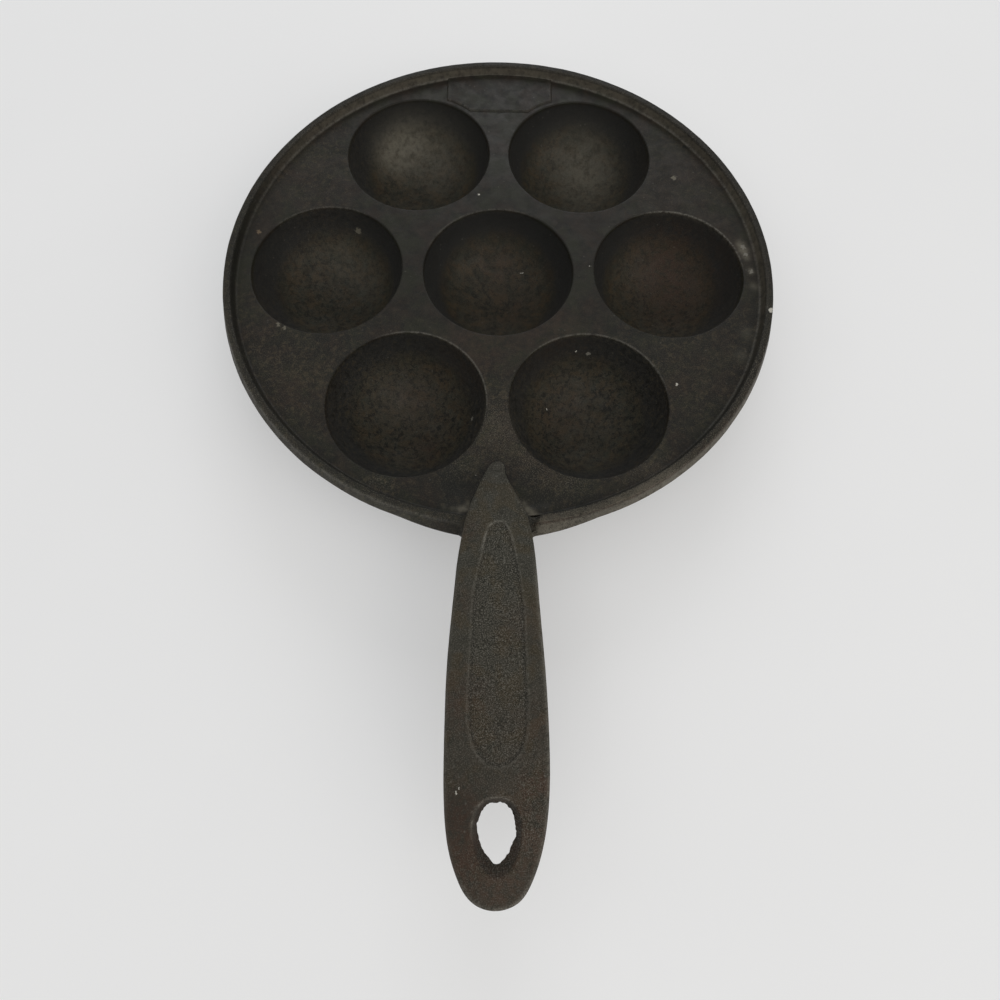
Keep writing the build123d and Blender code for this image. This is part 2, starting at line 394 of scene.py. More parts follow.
def colour(name, description, default):
    """A colour that the sidebar shows as a swatch."""
    return bpy.props.FloatVectorProperty(
        name=name,
        description=description,
        default=default,
        size=3,
        min=0.0,
        max=1.0,
        subtype="COLOR",
    )


def amount(name, description, default):
    """A plain number."""
    return bpy.props.FloatProperty(name=name, description=description, default=default, min=0.0)


class PanSizes(bpy.types.PropertyGroup):
    """Sizes of the pan's pieces."""

    step: length("Mesh Step", "Distance between neighbouring points of a mesh", 0.85 * MM)
    cup_mouth: length("Cup Mouth", "Radius of a cup where it meets the deck", 29.0 * MM)
    cup_depth: length("Cup Depth", "Depth of a cup under the deck's top", 27.0 * MM)
    cup_wall: length("Cup Wall", "Thickness of a cup's wall", 3.4 * MM)
    cup_lip: length("Cup Lip", "Rounding of the edge round a cup", 0.6 * MM)
    cup_pitch: length("Cup Pitch", "Distance of the outer cups from the centre one", 66.2 * MM)
    collar: length("Collar", "Radius of the ring of deck that belongs to a cup", 31.0 * MM)
    rim_shift: length("Rim Shift", "How far the rim lies to the right of the cups", 0.4 * MM)
    seam: length("Seam", "Radius where the deck ends and the rim begins", 99.8 * MM)
    rim_foot: length("Rim Foot", "Radius where the rim's inner slope meets the deck", 100.8 * MM)
    rim_slope: length("Rim Slope", "How far the rim's inner face leans outwards", 1.2 * MM)
    rim_top: length("Rim Top", "Width of the rim's flat top", 2.5 * MM)
    rim_spread: length("Rim Spread", "How far the rim's outer face spreads downwards", 1.5 * MM)
    shoulder: length("Shoulder", "Swelling of the outer face beside the handle", 2.3 * MM)
    tip: length("Tongue Tip", "Distance of the tongue's tip from the pan's axis", 81.0 * MM)
    handle_length: length("Handle Length", "From the tongue's tip to the end", 137.3 * MM)
    half_width: length("Half Width", "Half of the handle's greatest width", 15.65 * MM)
    rise: length("Rise", "Height of the handle's end over the deck", 11.4 * MM)
    thickness: length("Thickness", "Thickness of the handle", 8.8 * MM)
    crown: length("Crown", "How far the handle's top falls away to its edges", 0.7 * MM)
    edge: length("Edge", "Rounding of the handle's upper edge", 1.5 * MM)
    panel_depth: length("Panel Depth", "Depth of the sunk panel on the handle", 0.6 * MM)
    relief: length("Relief", "Height of the casting's soft unevenness", 0.10 * MM)


class IronLooks(bpy.types.PropertyGroup):
    """Colours and gloss of the iron."""

    # Black is also the painted shade mixed into creases, lips, the rim's sides, the foot and the
    # hole.
    black: colour("Black", "Seasoned iron in the hollows", (0.0088, 0.0086, 0.0070))
    brown: colour("Brown", "Seasoned iron between the hollows", (0.0182, 0.0158, 0.0108))
    # Olive lightens the cups' floors: baked-on film, and partly painted light.
    olive: colour("Olive", "Baked-on film on the cups' floors", (0.0420, 0.0365, 0.0250))
    green: colour("Green", "Oil film that lies on the iron", (0.0175, 0.0185, 0.0105))
    # Rust also paints light on the rim's back inner slope and a floor reflection on its near-right
    # wall.
    rust: colour("Rust", "Rust in the pores", (0.0480, 0.0275, 0.0170))
    # Soot darkens the cups' walls: baked-on film, and partly painted shade.
    soot_and_wall_shade: colour("Soot", "Baked-on film on the cups' walls", (0.0220, 0.0218, 0.0208))
    ochre: colour("Ochre", "Stains on the cups' floors", (0.0545, 0.0385, 0.0215))
    moss: colour("Moss", "Grey-green stains on the cups' floors", (0.0340, 0.0350, 0.0260))
    grey: colour("Grey", "Dry iron of the handle", (0.0395, 0.0378, 0.0285))
    bark: colour("Bark", "Brown tint of the handle and of rough places", (0.0490, 0.0395, 0.0235))
    # Dust also paints highlights and light in the cups, on the rim's foot and slopes, and by the
    # tongue.
    dust_and_painted_light: colour("Dust", "Pale film on rubbed places", (0.1300, 0.1180, 0.0900))
    # Worn also paints highlights on cup lips, edges, the rim's foot and the hole's bevel.
    worn_and_highlight: colour("Worn", "Bare iron on edges and grains", (0.1700, 0.1600, 0.1350))
    crumb: colour("Crumb", "Flecks of flour", (0.5000, 0.4800, 0.4200))
    crust: colour("Crust", "Flecks of old batter", (0.1300, 0.0950, 0.0600))
    gloss_low: amount("Gloss Low", "Roughness of the smoothest iron", 0.46)
    gloss_high: amount("Gloss High", "Roughness of the dullest iron", 0.62)


class StageLooks(bpy.types.PropertyGroup):
    """Floor and lights."""

    floor: colour("Floor", "Colour of the floor", (0.62, 0.62, 0.62))
    glow: amount("Glow", "Light that the floor gives off itself, as a light table does", 0.275)
    window: amount("Window", "Power of the low wide light behind the pan, in watts", 9.8)
    lamp: amount("Lamp", "Power of the warm light from the front right, in watts", 8.5)
    ceiling: amount("Ceiling", "Power of the broad light over the handle, in watts", 10.5)
    side: amount("Side", "Power of the small light from the left, in watts", 2.0)
    fill: amount("Fill", "Strength of the light from all round", 0.435)


# ---- Helpers: curves and noise


def smooth(share):
    """Eases a share from 0 to 1."""
    share = np.clip(share, 0.0, 1.0)
    return share * share * (3 - 2 * share)


def bell(value, width):
    """1 at zero, falling away to both sides."""
    return np.exp(-((value / width) ** 2))


def blend(low, high, share):
    """The value at a share of the way."""
    return low + (high - low) * share


def arc(angles, middle, half):
    """1 around a direction, easing to 0 at half a span from it; the span is in degrees."""
    apart = np.abs((np.degrees(angles) - middle + 180) % 360 - 180)
    return smooth((half - apart) / (0.5 * half))


def cubic(knots, values, places, closed=False):
    """The cubic spline through values at knots, read at places."""
    knots = np.asarray(knots, float)
    values = np.asarray(values, float)
    count = len(knots)
    gaps = np.diff(knots)
    slopes = np.diff(values) / gaps
    bends = np.zeros(count)
    if closed:
        size = count - 1
        matrix = np.zeros((size, size))
        right = np.zeros(size)
        for row in range(size):
            before, after = gaps[row - 1], gaps[row]
            matrix[row, row - 1] += before
            matrix[row, row] += 2 * (before + after)
            matrix[row, (row + 1) % size] += after
            right[row] = 6 * (slopes[row] - slopes[row - 1])
        bends[:-1] = np.linalg.solve(matrix, right)
        bends[-1] = bends[0]
    else:
        matrix = np.eye(count)
        right = np.zeros(count)
        for row in range(1, count - 1):
            before, after = gaps[row - 1], gaps[row]
            matrix[row, row - 1 : row + 2] = before, 2 * (before + after), after
            right[row] = 6 * (slopes[row] - slopes[row - 1])
        bends = np.linalg.solve(matrix, right)
    cell = np.clip(np.searchsorted(knots, places, side="right") - 1, 0, count - 2)
    gap = gaps[cell]
    after = (knots[cell + 1] - places) / gap
    before = (places - knots[cell]) / gap
    bend = (after**3 - after) * bends[cell] + (before**3 - before) * bends[cell + 1]
    return after * values[cell] + before * values[cell + 1] + bend * gap**2 / 6


def noise(points, size, seed):
    """Smooth noise from -1 to 1 at points in space, with features of a size."""
    cells = 32
    lattice = np.random.default_rng(seed).uniform(-1, 1, (cells, cells, cells))
    place = np.asarray(points, float) / size + 1000.5
    corner = np.floor(place).astype(int)
    share = place - corner
    share = share * share * (3 - 2 * share)
    total = np.zeros(len(place))
    for step in np.ndindex(2, 2, 2):
        weight = np.ones(len(place))
        index = []
        for axis in range(3):
            weight = weight * (share[:, axis] if step[axis] else 1 - share[:, axis])
            index.append((corner[:, axis] + step[axis]) % cells)
        total += weight * lattice[tuple(index)]
    return total


def unevenness(points):
    """The soft unevenness of the casting, as a share of its height."""
    return (
        0.55 * noise(points, 17 * MM, 11)
        + 0.45 * noise(points, 6.5 * MM, 12)
        + 0.30 * noise(points, 2.6 * MM, 13)
    )


def rounded(corners, radii, step):
    """Points along a line of corners, with an arc in each corner that has a radius."""
    corners = [np.asarray(corner, float) for corner in corners]
    points = [corners[0]]
    for before, corner, after, radius in zip(corners, corners[1:], corners[2:], radii):
        if not radius:
            points.append(corner)
            continue
        back = (before - corner) / np.linalg.norm(before - corner)
        ahead = (after - corner) / np.linalg.norm(after - corner)
        half = math.acos(np.clip(back @ ahead, -1, 1)) / 2
        middle = (back + ahead) / np.linalg.norm(back + ahead)
        centre = corner + middle * radius / math.sin(half)
        first = corner + back * radius / math.tan(half) - centre
        last = corner + ahead * radius / math.tan(half) - centre
        turn = math.pi - 2 * half
        stops = max(3, math.ceil(turn / math.radians(14)))
        for stop in range(stops + 1):
            share = stop / stops
            low, high = math.sin((1 - share) * turn), math.sin(share * turn)
            points.append(centre + (low * first + high * last) / math.sin(turn))
    points.append(corners[-1])
    line = [points[0]]
    for point in points[1:]:
        pieces = max(1, round(np.linalg.norm(point - line[-1]) / step))
        start = line[-1]
        line.extend(start + (point - start) * piece / pieces for piece in range(1, pieces + 1))
    return np.array(line)


def circle(radius, count, centre=(0.0, 0.0)):
    """Points evenly round a circle."""
    angles = np.arange(count) * FULL_TURN / count
    return np.stack([centre[0] + radius * np.cos(angles), centre[1] + radius * np.sin(angles)], 1)


def ring_count(radius, step):
    """How many points go round a circle, a multiple of six."""
    return max(12, 6 * round(FULL_TURN * radius / step / 6))


def section_lifts(line):
    """The outward directions along a section that is drawn from the inside over its top."""
    along = np.gradient(line, axis=0)
    lifts = np.stack([-along[:, 1], along[:, 0]], 1)
    return lifts / np.linalg.norm(lifts, axis=1)[:, None]


def axes(back):
    """The level sideways direction and the upward one that go with a backward direction."""
    right = np.cross((0, 0, 1), back)
    right /= np.linalg.norm(right)
    return right, np.cross(back, right)


# ---- Helpers: meshes


class Casting:
    """A closed mesh in the making: its points, their outward directions, and values on them."""

    # These values carry real wear, rust, film and speckle, and also painted highlights, painted
    # shade and painted light.
    VALUES = ("wear", "hollow", "depth", "rust", "sheen", "pale", "grit")

    def __init__(self):
        self.points = []
        self.lifts = []
        self.values = {name: [] for name in self.VALUES}
        self.faces = []
        self.count = 0

    def add(self, points, lifts, **values):
        """Adds points, and returns their numbers."""
        points = np.asarray(points, float)
        self.points.append(points)
        self.lifts.append(np.broadcast_to(np.asarray(lifts, float), points.shape))
        for name in self.VALUES:
            value = np.asarray(values.get(name, 0.0), float)
            self.values[name].append(np.broadcast_to(value, len(points)))
        numbers = np.arange(self.count, self.count + len(points))
        self.count += len(points)
        return numbers

    def band(self, first, second):
        """Joins two closed rings with as many points."""
        for here, (a, b) in enumerate(zip(first, second)):
            after = (here + 1) % len(first)
            self.faces.append((int(a), int(first[after]), int(second[after]), int(b)))

    def bands(self, rings):
        """Joins closed rings with as many points, each to the next."""
        for first, second in zip(rings, rings[1:]):
            self.band(first, second)

    def stitch(self, first, second):
        """Joins two closed rings that start at the same angle, whatever their counts."""
        here = there = 0
        while here < len(first) or there < len(second):
            ahead = (here + 1) / len(first)
            across = (there + 1) / len(second)
            a, b = int(first[here % len(first)]), int(second[there % len(second)])
            if there == len(second) or (here < len(first) and ahead <= across):
                self.faces.append((a, int(first[(here + 1) % len(first)]), b))
                here += 1
            else:
                self.faces.append((a, int(second[(there + 1) % len(second)]), b))
                there += 1

    def cap(self, ring, centre):
        """Closes a ring to one point."""
        for here, number in enumerate(ring):
            self.faces.append((int(number), int(ring[(here + 1) % len(ring)]), int(centre)))

    def fill(self, numbers, triangles):
        """Adds triangles, whose corners are places in a list of points' numbers."""
        self.faces.extend(tuple(int(n) for n in face) for face in numbers[triangles])

    def finish(self, name, nodes, material, relief):
        """Makes the object, gives it the casting's unevenness, hangs it under the root body, and
        hides the nodes that it stands in for.
        """
        points = np.concatenate(self.points)
        lifts = np.concatenate(self.lifts)
        points = points + lifts * (relief * unevenness(points))[:, None]
        points = np.clip(points, np.array(cad_box[0]), np.array(cad_box[1]))
        values = {value: np.concatenate(self.values[value]).copy() for value in self.VALUES}
        for value, share, middle, reach in MARKS:
            gap = np.linalg.norm(points - np.array(middle) * MM, axis=1)
            values[value] += share * bell(gap, reach * MM)
        mesh = bpy.data.meshes.new(name)
        mesh.from_pydata(points.tolist(), [], self.faces)
        for value in self.VALUES:
            layer = mesh.attributes.new(value, "FLOAT", "POINT")
            layer.data.foreach_set("value", np.clip(values[value], 0, 1).astype(np.float32))
        work = bmesh.new()
        work.from_mesh(mesh)
        bmesh.ops.remove_doubles(work, verts=work.verts, dist=MERGE_DISTANCE)
        bmesh.ops.recalc_face_normals(work, faces=work.faces)
        work.to_mesh(mesh)
        work.free()
        mesh.shade_smooth()
        mesh.set_sharp_from_angle(angle=SHARP_ANGLE)
        if mesh.validate():
            raise RuntimeError(f"{name} has faces that can't be used")
        piece = bpy.data.objects.new(name, mesh)
        bpy.context.scene.collection.objects.link(piece)
        mesh.materials.append(material)
        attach(piece, "root")
        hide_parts(*nodes)


def inside(points, outline):
    """Which points lie inside a closed outline."""
    x, y = points[:, 0][:, None], points[:, 1][:, None]
    ahead = np.roll(outline, -1, axis=0)
    crosses = (outline[:, 1] > y) != (ahead[:, 1] > y)
    span = ahead[:, 1] - outline[:, 1]
    span = np.where(np.abs(span) < 1e-12, 1e-12, span)
    meets = outline[:, 0] + (y - outline[:, 1]) / span * (ahead[:, 0] - outline[:, 0])
    return (np.sum(crosses & (x < meets), axis=1) % 2) == 1


def clearance(points, others):
    """The distance of each point to the nearest of others."""
    nearest = np.full(len(points), np.inf)
    for start in range(0, len(points), 2000):
        part = points[start : start + 2000]
        gaps = np.hypot(part[:, 0][:, None] - others[:, 0], part[:, 1][:, None] - others[:, 1])
        nearest[start : start + 2000] = gaps.min(axis=1)
    return nearest


def sheet(outline, holes, step, seed, extra=None):
    """Covers an outline with holes: gives its inner points, and triangles of points' numbers.

    The numbers run through the outline, then each hole, then the inner points. Extra points that
    lie well inside come first among these.
    """
    low, high = outline.min(0), outline.max(0)
    rows = np.arange(low[1], high[1], step * math.sqrt(3) / 2)
    grid = []
    for row, y in enumerate(rows):
        xs = np.arange(low[0] + (row % 2) * step / 2, high[0], step)
        grid.append(np.stack([xs, np.full(len(xs), y)], 1))
    grid = np.concatenate(grid)
    grid += np.random.default_rng(seed).uniform(-0.16, 0.16, grid.shape) * step
    rings = [outline, *holes]
    edges = np.concatenate(rings)
    if extra is not None:
        grid = grid[clearance(grid, extra) > 0.55 * step]
        grid = np.concatenate([extra, grid])
    grid = grid[inside(grid, outline)]
    for hole in holes:
        grid = grid[~inside(grid, hole)]
    grid = grid[clearance(grid, edges) > 0.6 * step]
    flat = np.concatenate([edges, grid])
    borders = []
    owner = np.full(len(flat), -1)
    start = 0
    for number, ring in enumerate(rings):
        owner[start : start + len(ring)] = number
        borders.extend((start + k, start + (k + 1) % len(ring)) for k in range(len(ring)))
        start += len(ring)
    result = delaunay_2d_cdt([tuple(p) for p in flat], borders, [], 0, 1e-9)
    triangles = np.array(result[2])
    source = np.array([numbers[0] for numbers in result[3]])
    triangles = source[triangles]
    owners = owner[triangles]
    one_ring = (owners[:, 0] >= 0) & (owners == owners[:, :1]).all(axis=1)
    keep = ~one_ring
    doubtful = np.flatnonzero(one_ring & (owners[:, 0] == 0))
    if len(doubtful):
        keep[doubtful] = inside(flat[triangles[doubtful]].mean(axis=1), outline)
    return grid, triangles[keep]


# ---- Helpers: the iron


class Nodes:
    """Builds a material's nodes."""

    def __init__(self, name):
        self.material = bpy.data.materials.new(name)
        self.material.use_nodes = True
        self.tree = self.material.node_tree
        self.tree.nodes.clear()

    def node(self, kind, **settings):
        """Adds a node with its settings."""
        node = self.tree.nodes.new(kind)
        for name, value in settings.items():
            setattr(node, name, value)
        return node

    def feed(self, socket, value):
        """Links a socket to an output, or sets it to a value."""
        if isinstance(value, bpy.types.NodeSocket):
            self.tree.links.new(value, socket)
        else:
            socket.default_value = value

    def attribute(self, name):
        """A value that the mesh holds."""
        return self.node("ShaderNodeAttribute", attribute_name=name).outputs["Fac"]

    def maths(self, operation, first, second, clamp=False):
        """What an operation makes of two values."""
        node = self.node("ShaderNodeMath", operation=operation, use_clamp=clamp)
        self.feed(node.inputs[0], first)
        self.feed(node.inputs[1], second)
        return node.outputs[0]

    def plus(self, first, second, clamp=False):
        """The sum of two values."""
        return self.maths("ADD", first, second, clamp)

    def times(self, first, second, clamp=False):
        """The product of two values."""
        return self.maths("MULTIPLY", first, second, clamp)

    def noise(self, place, size, detail=2.0, roughness=0.5, distortion=0.0):
        """Noise with features of a size."""
        node = self.node("ShaderNodeTexNoise", noise_dimensions="3D")
        self.feed(node.inputs["Vector"], place)
        node.inputs["Scale"].default_value = 1.0 / size
        node.inputs["Detail"].default_value = detail
        node.inputs["Roughness"].default_value = roughness
        node.inputs["Distortion"].default_value = distortion
        return node.outputs["Fac"]

    def spots(self, place, size):
        """The distance to the middle of the nearest of scattered spots, and that spot's colour."""
        node = self.node("ShaderNodeTexVoronoi", voronoi_dimensions="3D", feature="F1")
        self.feed(node.inputs["Vector"], place)
        node.inputs["Scale"].default_value = 1.0 / size
        return node.outputs["Distance"], node.outputs["Color"]

    def ragged(self, place, size, amount):
        """Places pushed about by noise, so that shapes drawn from them have ragged edges."""
        node = self.node("ShaderNodeTexNoise", noise_dimensions="3D")
        self.feed(node.inputs["Vector"], place)
        node.inputs["Scale"].default_value = 1.0 / size
        push = self.node("ShaderNodeVectorMath", operation="MULTIPLY_ADD")
        self.feed(push.inputs[0], node.outputs["Color"])
        push.inputs[1].default_value = (amount, amount, amount)
        push.inputs[2].default_value = (-amount / 2, -amount / 2, -amount / 2)
        total = self.node("ShaderNodeVectorMath", operation="ADD")
        self.feed(total.inputs[0], place)
        self.feed(total.inputs[1], push.outputs["Vector"])
        return total.outputs["Vector"]

    def apart(self, place, middle):
        """The distance from a point."""
        node = self.node("ShaderNodeVectorMath", operation="DISTANCE")
        self.feed(node.inputs[0], place)
        node.inputs[1].default_value = middle
        return node.outputs["Value"]

    def between(self, value, low, high, start=0.0, end=1.0):
        """Eases a value from one range to another."""
        node = self.node("ShaderNodeMapRange", interpolation_type="SMOOTHSTEP")
        self.feed(node.inputs["Value"], value)
        node.inputs["From Min"].default_value = low
        node.inputs["From Max"].default_value = high
        node.inputs["To Min"].default_value = start
        node.inputs["To Max"].default_value = end
        return node.outputs["Result"]

    def mix(self, share, first, second):
        """Mixes two colours."""
        node = self.node("ShaderNodeMix", data_type="RGBA", blend_type="MIX")
        self.feed(node.inputs["Factor"], share)
        for socket, value in zip((node.inputs[6], node.inputs[7]), (first, second)):
            self.feed(socket, value if isinstance(value, bpy.types.NodeSocket) else (*value, 1.0))
        return node.outputs[2]

    def bump(self, height, distance, strength, normal=None):
        """Bumps from a height."""
        node = self.node("ShaderNodeBump")
        self.feed(node.inputs["Height"], height)
        node.inputs["Distance"].default_value = distance
        node.inputs["Strength"].default_value = strength
        if normal is not None:
            self.feed(node.inputs["Normal"], normal)
        return node.outputs["Normal"]


def iron(name, dryness):
    """Seasoned cast iron: oily and black in the pan (0), dry and grey on the handle (1)."""
    looks = bpy.context.scene.pan_iron
    nodes = Nodes(name)
    place = nodes.node("ShaderNodeTexCoord").outputs["Object"]
    values = [nodes.attribute(value) for value in Casting.VALUES]
    wear, hollow, depth, rust, sheen, pale, grit = values

    broad = nodes.noise(place, 16 * MM, 3.0, 0.55, 0.3)
    patchy = nodes.noise(place, 4.5 * MM, 4.0, 0.6, 0.4)
    mottle = nodes.noise(place, 1.7 * MM, 3.0, 0.65)
    sand = nodes.noise(place, 0.34 * MM, 1.5, 0.6)
    cloud = nodes.plus(nodes.times(broad, 0.4), nodes.times(patchy, 0.3))
    cloud = nodes.plus(cloud, nodes.times(mottle, 0.3))
    fine = nodes.times(nodes.plus(patchy, mottle), 0.5)

    drift = nodes.noise(place, 8 * MM, 2.0, 0.55, 0.2)
    tint = nodes.noise(place, 4.2 * MM, 3.0, 0.6, 0.2)

    base = nodes.mix(nodes.between(cloud, 0.38, 0.62), looks.black, looks.brown)
    base = nodes.mix(nodes.between(drift, 0.48, 0.66, 0.0, 0.60), base, looks.green)
    base = nodes.mix(nodes.between(drift, 0.50, 0.34, 0.0, 0.13), base, looks.rust)
    base = nodes.mix(nodes.between(broad, 0.50, 0.62, 0.0, 0.40), base, looks.green)
    base = nodes.mix(nodes.between(broad, 0.50, 0.40, 0.0, 0.10), base, looks.rust)
    if dryness:
        dry = nodes.mix(nodes.between(drift, 0.46, 0.62, 0.0, 0.85), looks.grey, looks.bark)
        dry = nodes.mix(nodes.between(tint, 0.46, 0.32, 0.0, 0.35), dry, looks.moss)
        base = nodes.mix(nodes.between(fine, 0.30, 0.62, 0.60, 1.0), base, dry)
    else:
        # Darker cup walls and lighter cup floors: baked-on film and stains, and partly painted
        # shade on the walls and painted light on the floors.
        under_lip = nodes.between(depth, 0.03, 0.12)
        wall = nodes.times(under_lip, nodes.between(depth, 0.72, 0.52, 0.0, 0.9))
        base = nodes.mix(wall, base, looks.soot_and_wall_shade)
        bottom = nodes.between(depth, 0.48, 0.78)
        floor_film_and_light = nodes.times(bottom, nodes.between(fine, 0.36, 0.60, 0.45, 1.0))
        stains = nodes.mix(nodes.between(tint, 0.50, 0.62, 0.0, 0.75), looks.olive, looks.ochre)
        stains = nodes.mix(nodes.between(tint, 0.46, 0.36, 0.0, 0.90), stains, looks.moss)
        base = nodes.mix(floor_film_and_light, base, stains)
        speckled = nodes.noise(place, 1.8 * MM, 3.0, 0.65, 0.5)
        rough = nodes.times(grit, 3.4, clamp=True)
        tanned = nodes.times(rough, nodes.between(speckled, 0.53, 0.66, 0.0, 0.7))
        base = nodes.mix(tanned, base, looks.bark)
        scorched = nodes.times(rough, nodes.between(speckled, 0.49, 0.39, 0.0, 0.9))
        base = nodes.mix(scorched, base, looks.black)
    # Rust tints, and on the rim a warm tint that is painted light.
    reddish = nodes.times(rust, nodes.between(fine, 0.36, 0.60, 0.15, 1.0))
    base = nodes.mix(reddish, base, looks.rust)
    # Pale film and dust, and painted highlights and painted light in the cups, on the rim and by
    # the tongue.
    dust_and_painted_light_share = nodes.times(pale, nodes.between(fine, 0.30, 0.62, 0.35, 1.0))
    base = nodes.mix(dust_and_painted_light_share, base, looks.dust_and_painted_light)
    # Painted shade in creases, on lips, on the rim's sides and in the hole, and some darker tone.
    base = nodes.mix(nodes.times(hollow, 0.9), base, looks.black)

    coarse = nodes.plus(nodes.times(grit, 0.80), 0.16 if dryness else 0.06)
    grains = nodes.times(nodes.between(sand, 0.48, 0.74), coarse)
    base = nodes.mix(grains, base, looks.worn_and_highlight if dryness else looks.dust_and_painted_light)
    pores = nodes.times(nodes.between(sand, 0.46, 0.28), nodes.times(coarse, 1.4))
    base = nodes.mix(pores, base, looks.black)
    distance, shade = nodes.spots(place, 2.1 * MM)
    separate = nodes.node("ShaderNodeSeparateColor")
    nodes.feed(separate.inputs[0], shade)
    rare = nodes.between(separate.outputs[0], 0.70 if dryness else 0.86, 0.93)
    speck = nodes.times(rare, nodes.between(distance, 0.08, 0.22, 1.0, 0.0))
    base = nodes.mix(nodes.times(speck, 0.30 if dryness else 0.18), base, looks.worn_and_highlight)
    # Rubbed edges in the worn colour, and painted highlights on lips, edges and the rim's foot.
    rubbed_and_highlight = nodes.times(wear, nodes.between(sand, 0.30, 0.60, 0.35, 1.0))
    rubbed_and_highlight = nodes.times(rubbed_and_highlight, nodes.between(mottle, 0.36, 0.56, 0.30, 1.0))
    base = nodes.mix(rubbed_and_highlight, base, looks.worn_and_highlight)
    ragged = nodes.ragged(place, 0.9 * MM, 2.4 * MM)
    for colour_name, middle, reach in FLECKS:
        apart = nodes.apart(ragged, [value * MM for value in middle])
        fleck = nodes.between(apart, 0.7 * reach * MM, 1.1 * reach * MM, 0.9, 0.0)
        base = nodes.mix(fleck, base, getattr(looks, colour_name))

    gloss = nodes.between(patchy, 0.3, 0.7, looks.gloss_high, looks.gloss_low)
    gloss = nodes.plus(gloss, nodes.times(grit, 0.14))
    gloss = nodes.maths("SUBTRACT", gloss, nodes.times(sheen, 0.10))
    gloss = nodes.plus(gloss, 0.16 if dryness else 0.0, clamp=True)

    relief = nodes.bump(patchy, 0.20 * MM, 0.30)
    grain = nodes.bump(mottle, 0.10 * MM, 0.45 if dryness else 0.30, relief)
    pitted = nodes.bump(sand, 0.06 * MM, 0.80 if dryness else 0.45, grain)

    shader = nodes.node("ShaderNodeBsdfPrincipled")
    nodes.feed(shader.inputs["Base Color"], base)
    nodes.feed(shader.inputs["Roughness"], gloss)
    nodes.feed(shader.inputs["Normal"], pitted)
    shader.inputs["Specular IOR Level"].default_value = 0.20
    output = nodes.node("ShaderNodeOutputMaterial")
    nodes.feed(output.inputs["Surface"], shader.outputs[0])
    return nodes.material


def iron_of(kind):
    """The iron that a kind of piece is made of, made once."""
    name = f"seasoned_iron_{kind}"
    return bpy.data.materials.get(name) or iron(name, {"pan": 0, "handle": 1}[kind])


# ---- The pan's forms


def cup_places(sizes):
    """The cups' axes by name, the centre first and then round from +X."""
    places = {"cup_centre": (0.0, 0.0)}
    for index, name in enumerate(CUP_NAMES):
        angle = index * FULL_TURN / len(CUP_NAMES)
        places[name] = (sizes.cup_pitch * math.cos(angle), sizes.cup_pitch * math.sin(angle))
    return places


def rim_line(sizes):
    """The rim's section as (radius, height), from the deck over the rim's top to its underside."""
    inner = sizes.rim_foot + sizes.rim_slope
    outer = inner + sizes.rim_top
    widest = outer + sizes.rim_spread
    corners = [
        (sizes.seam, deck_high.z),
        (sizes.rim_foot, deck_high.z),
        (inner, rim_high.z),
        (outer, rim_high.z),
        (widest, rim_high.z - RIM_WAIST),
        (widest - RIM_TUCK, deck_low.z),
        (sizes.seam, deck_low.z),
    ]
    return rounded(corners, RIM_ROUNDINGS, 0.8 * sizes.step)


def rim_radius(sizes, points):
    """The distance of points from the middle of the rim's circle."""
    return np.hypot(points[:, 0] - sizes.rim_shift, points[:, 1])


def pan_height(sizes, points):
    """The height of the deck and of the rim's top at points seen from above."""
    line = rim_line(sizes)
    line = line[: int(np.argmax(line[:, 0])) + 1]
    return np.interp(rim_radius(sizes, points), line[:, 0], line[:, 1])


def closed_curve(knots, step):
    """Points along a smooth closed curve, drawn anticlockwise, and its outward directions."""
    knots = np.concatenate([knots, knots[:1]])
    travel = np.concatenate([[0], np.cumsum(np.hypot(*np.diff(knots, axis=0).T))])
    fine = np.linspace(0, travel[-1], 6001)
    line = np.stack([cubic(travel, knots[:, axis], fine, closed=True) for axis in (0, 1)], 1)
    run = np.concatenate([[0], np.cumsum(np.hypot(*np.diff(line, axis=0).T))])
    stops = np.linspace(0, run[-1], round(run[-1] / step) + 1)[:-1]
    points = np.stack([np.interp(stops, run, line[:, axis]) for axis in (0, 1)], 1)
    along = np.roll(points, -1, axis=0) - np.roll(points, 1, axis=0)
    along /= np.linalg.norm(along, axis=1)[:, None]
    return points, np.stack([along[:, 1], -along[:, 0]], 1)


def handle_outline(sizes, step):
    """The handle's outline from above and its outward directions, from the tip."""
    shares = np.array(OUTLINE_SHARES)
    y = -sizes.tip - shares[:, 0] * sizes.handle_length
    left = np.stack([-shares[:, 1] * sizes.half_width, y], 1)
    right = np.stack([shares[:, 2] * sizes.half_width, y], 1)
    return closed_curve(np.concatenate([left, right[-2:0:-1]]), step)


def top_line(sizes, distance):
    """The height of the handle's middle at distances from the pan's axis."""
    shares = np.array(TOP_LINE_SHARES)
    share = (distance - sizes.tip) / sizes.handle_length
    return deck_high.z + sizes.rise * cubic(shares[:, 0], shares[:, 1], share)


def handle_span(sizes, distance):
    """The middle and the half of the handle's width at distances from the pan's axis."""
    shares = np.array(OUTLINE_SHARES)
    share = np.clip((distance - sizes.tip) / sizes.handle_length, 0, 1)
    left = np.interp(share, shares[:, 0], shares[:, 1])
    right = np.interp(share, shares[:, 0], shares[:, 2])
    middle = sizes.half_width * (right - left) / 2
    return middle, sizes.half_width * np.maximum((left + right) / 2, 0.15)


def panel_outline(step):
    """The sunk panel's outline from above and its outward directions."""
    distance, left, right = np.array(PANEL_LINE).T * MM
    left = np.stack([left, -distance], 1)
    right = np.stack([right, -distance], 1)
    return closed_curve(np.concatenate([left, right[-2:0:-1]]), step)


def panel_edge(points):
    """The distance of points to the sunk panel's edge, negative inside it."""
    outline = panel_outline(0.25 * MM)[0]
    return clearance(points, outline) * np.where(inside(points, outline), -1, 1)


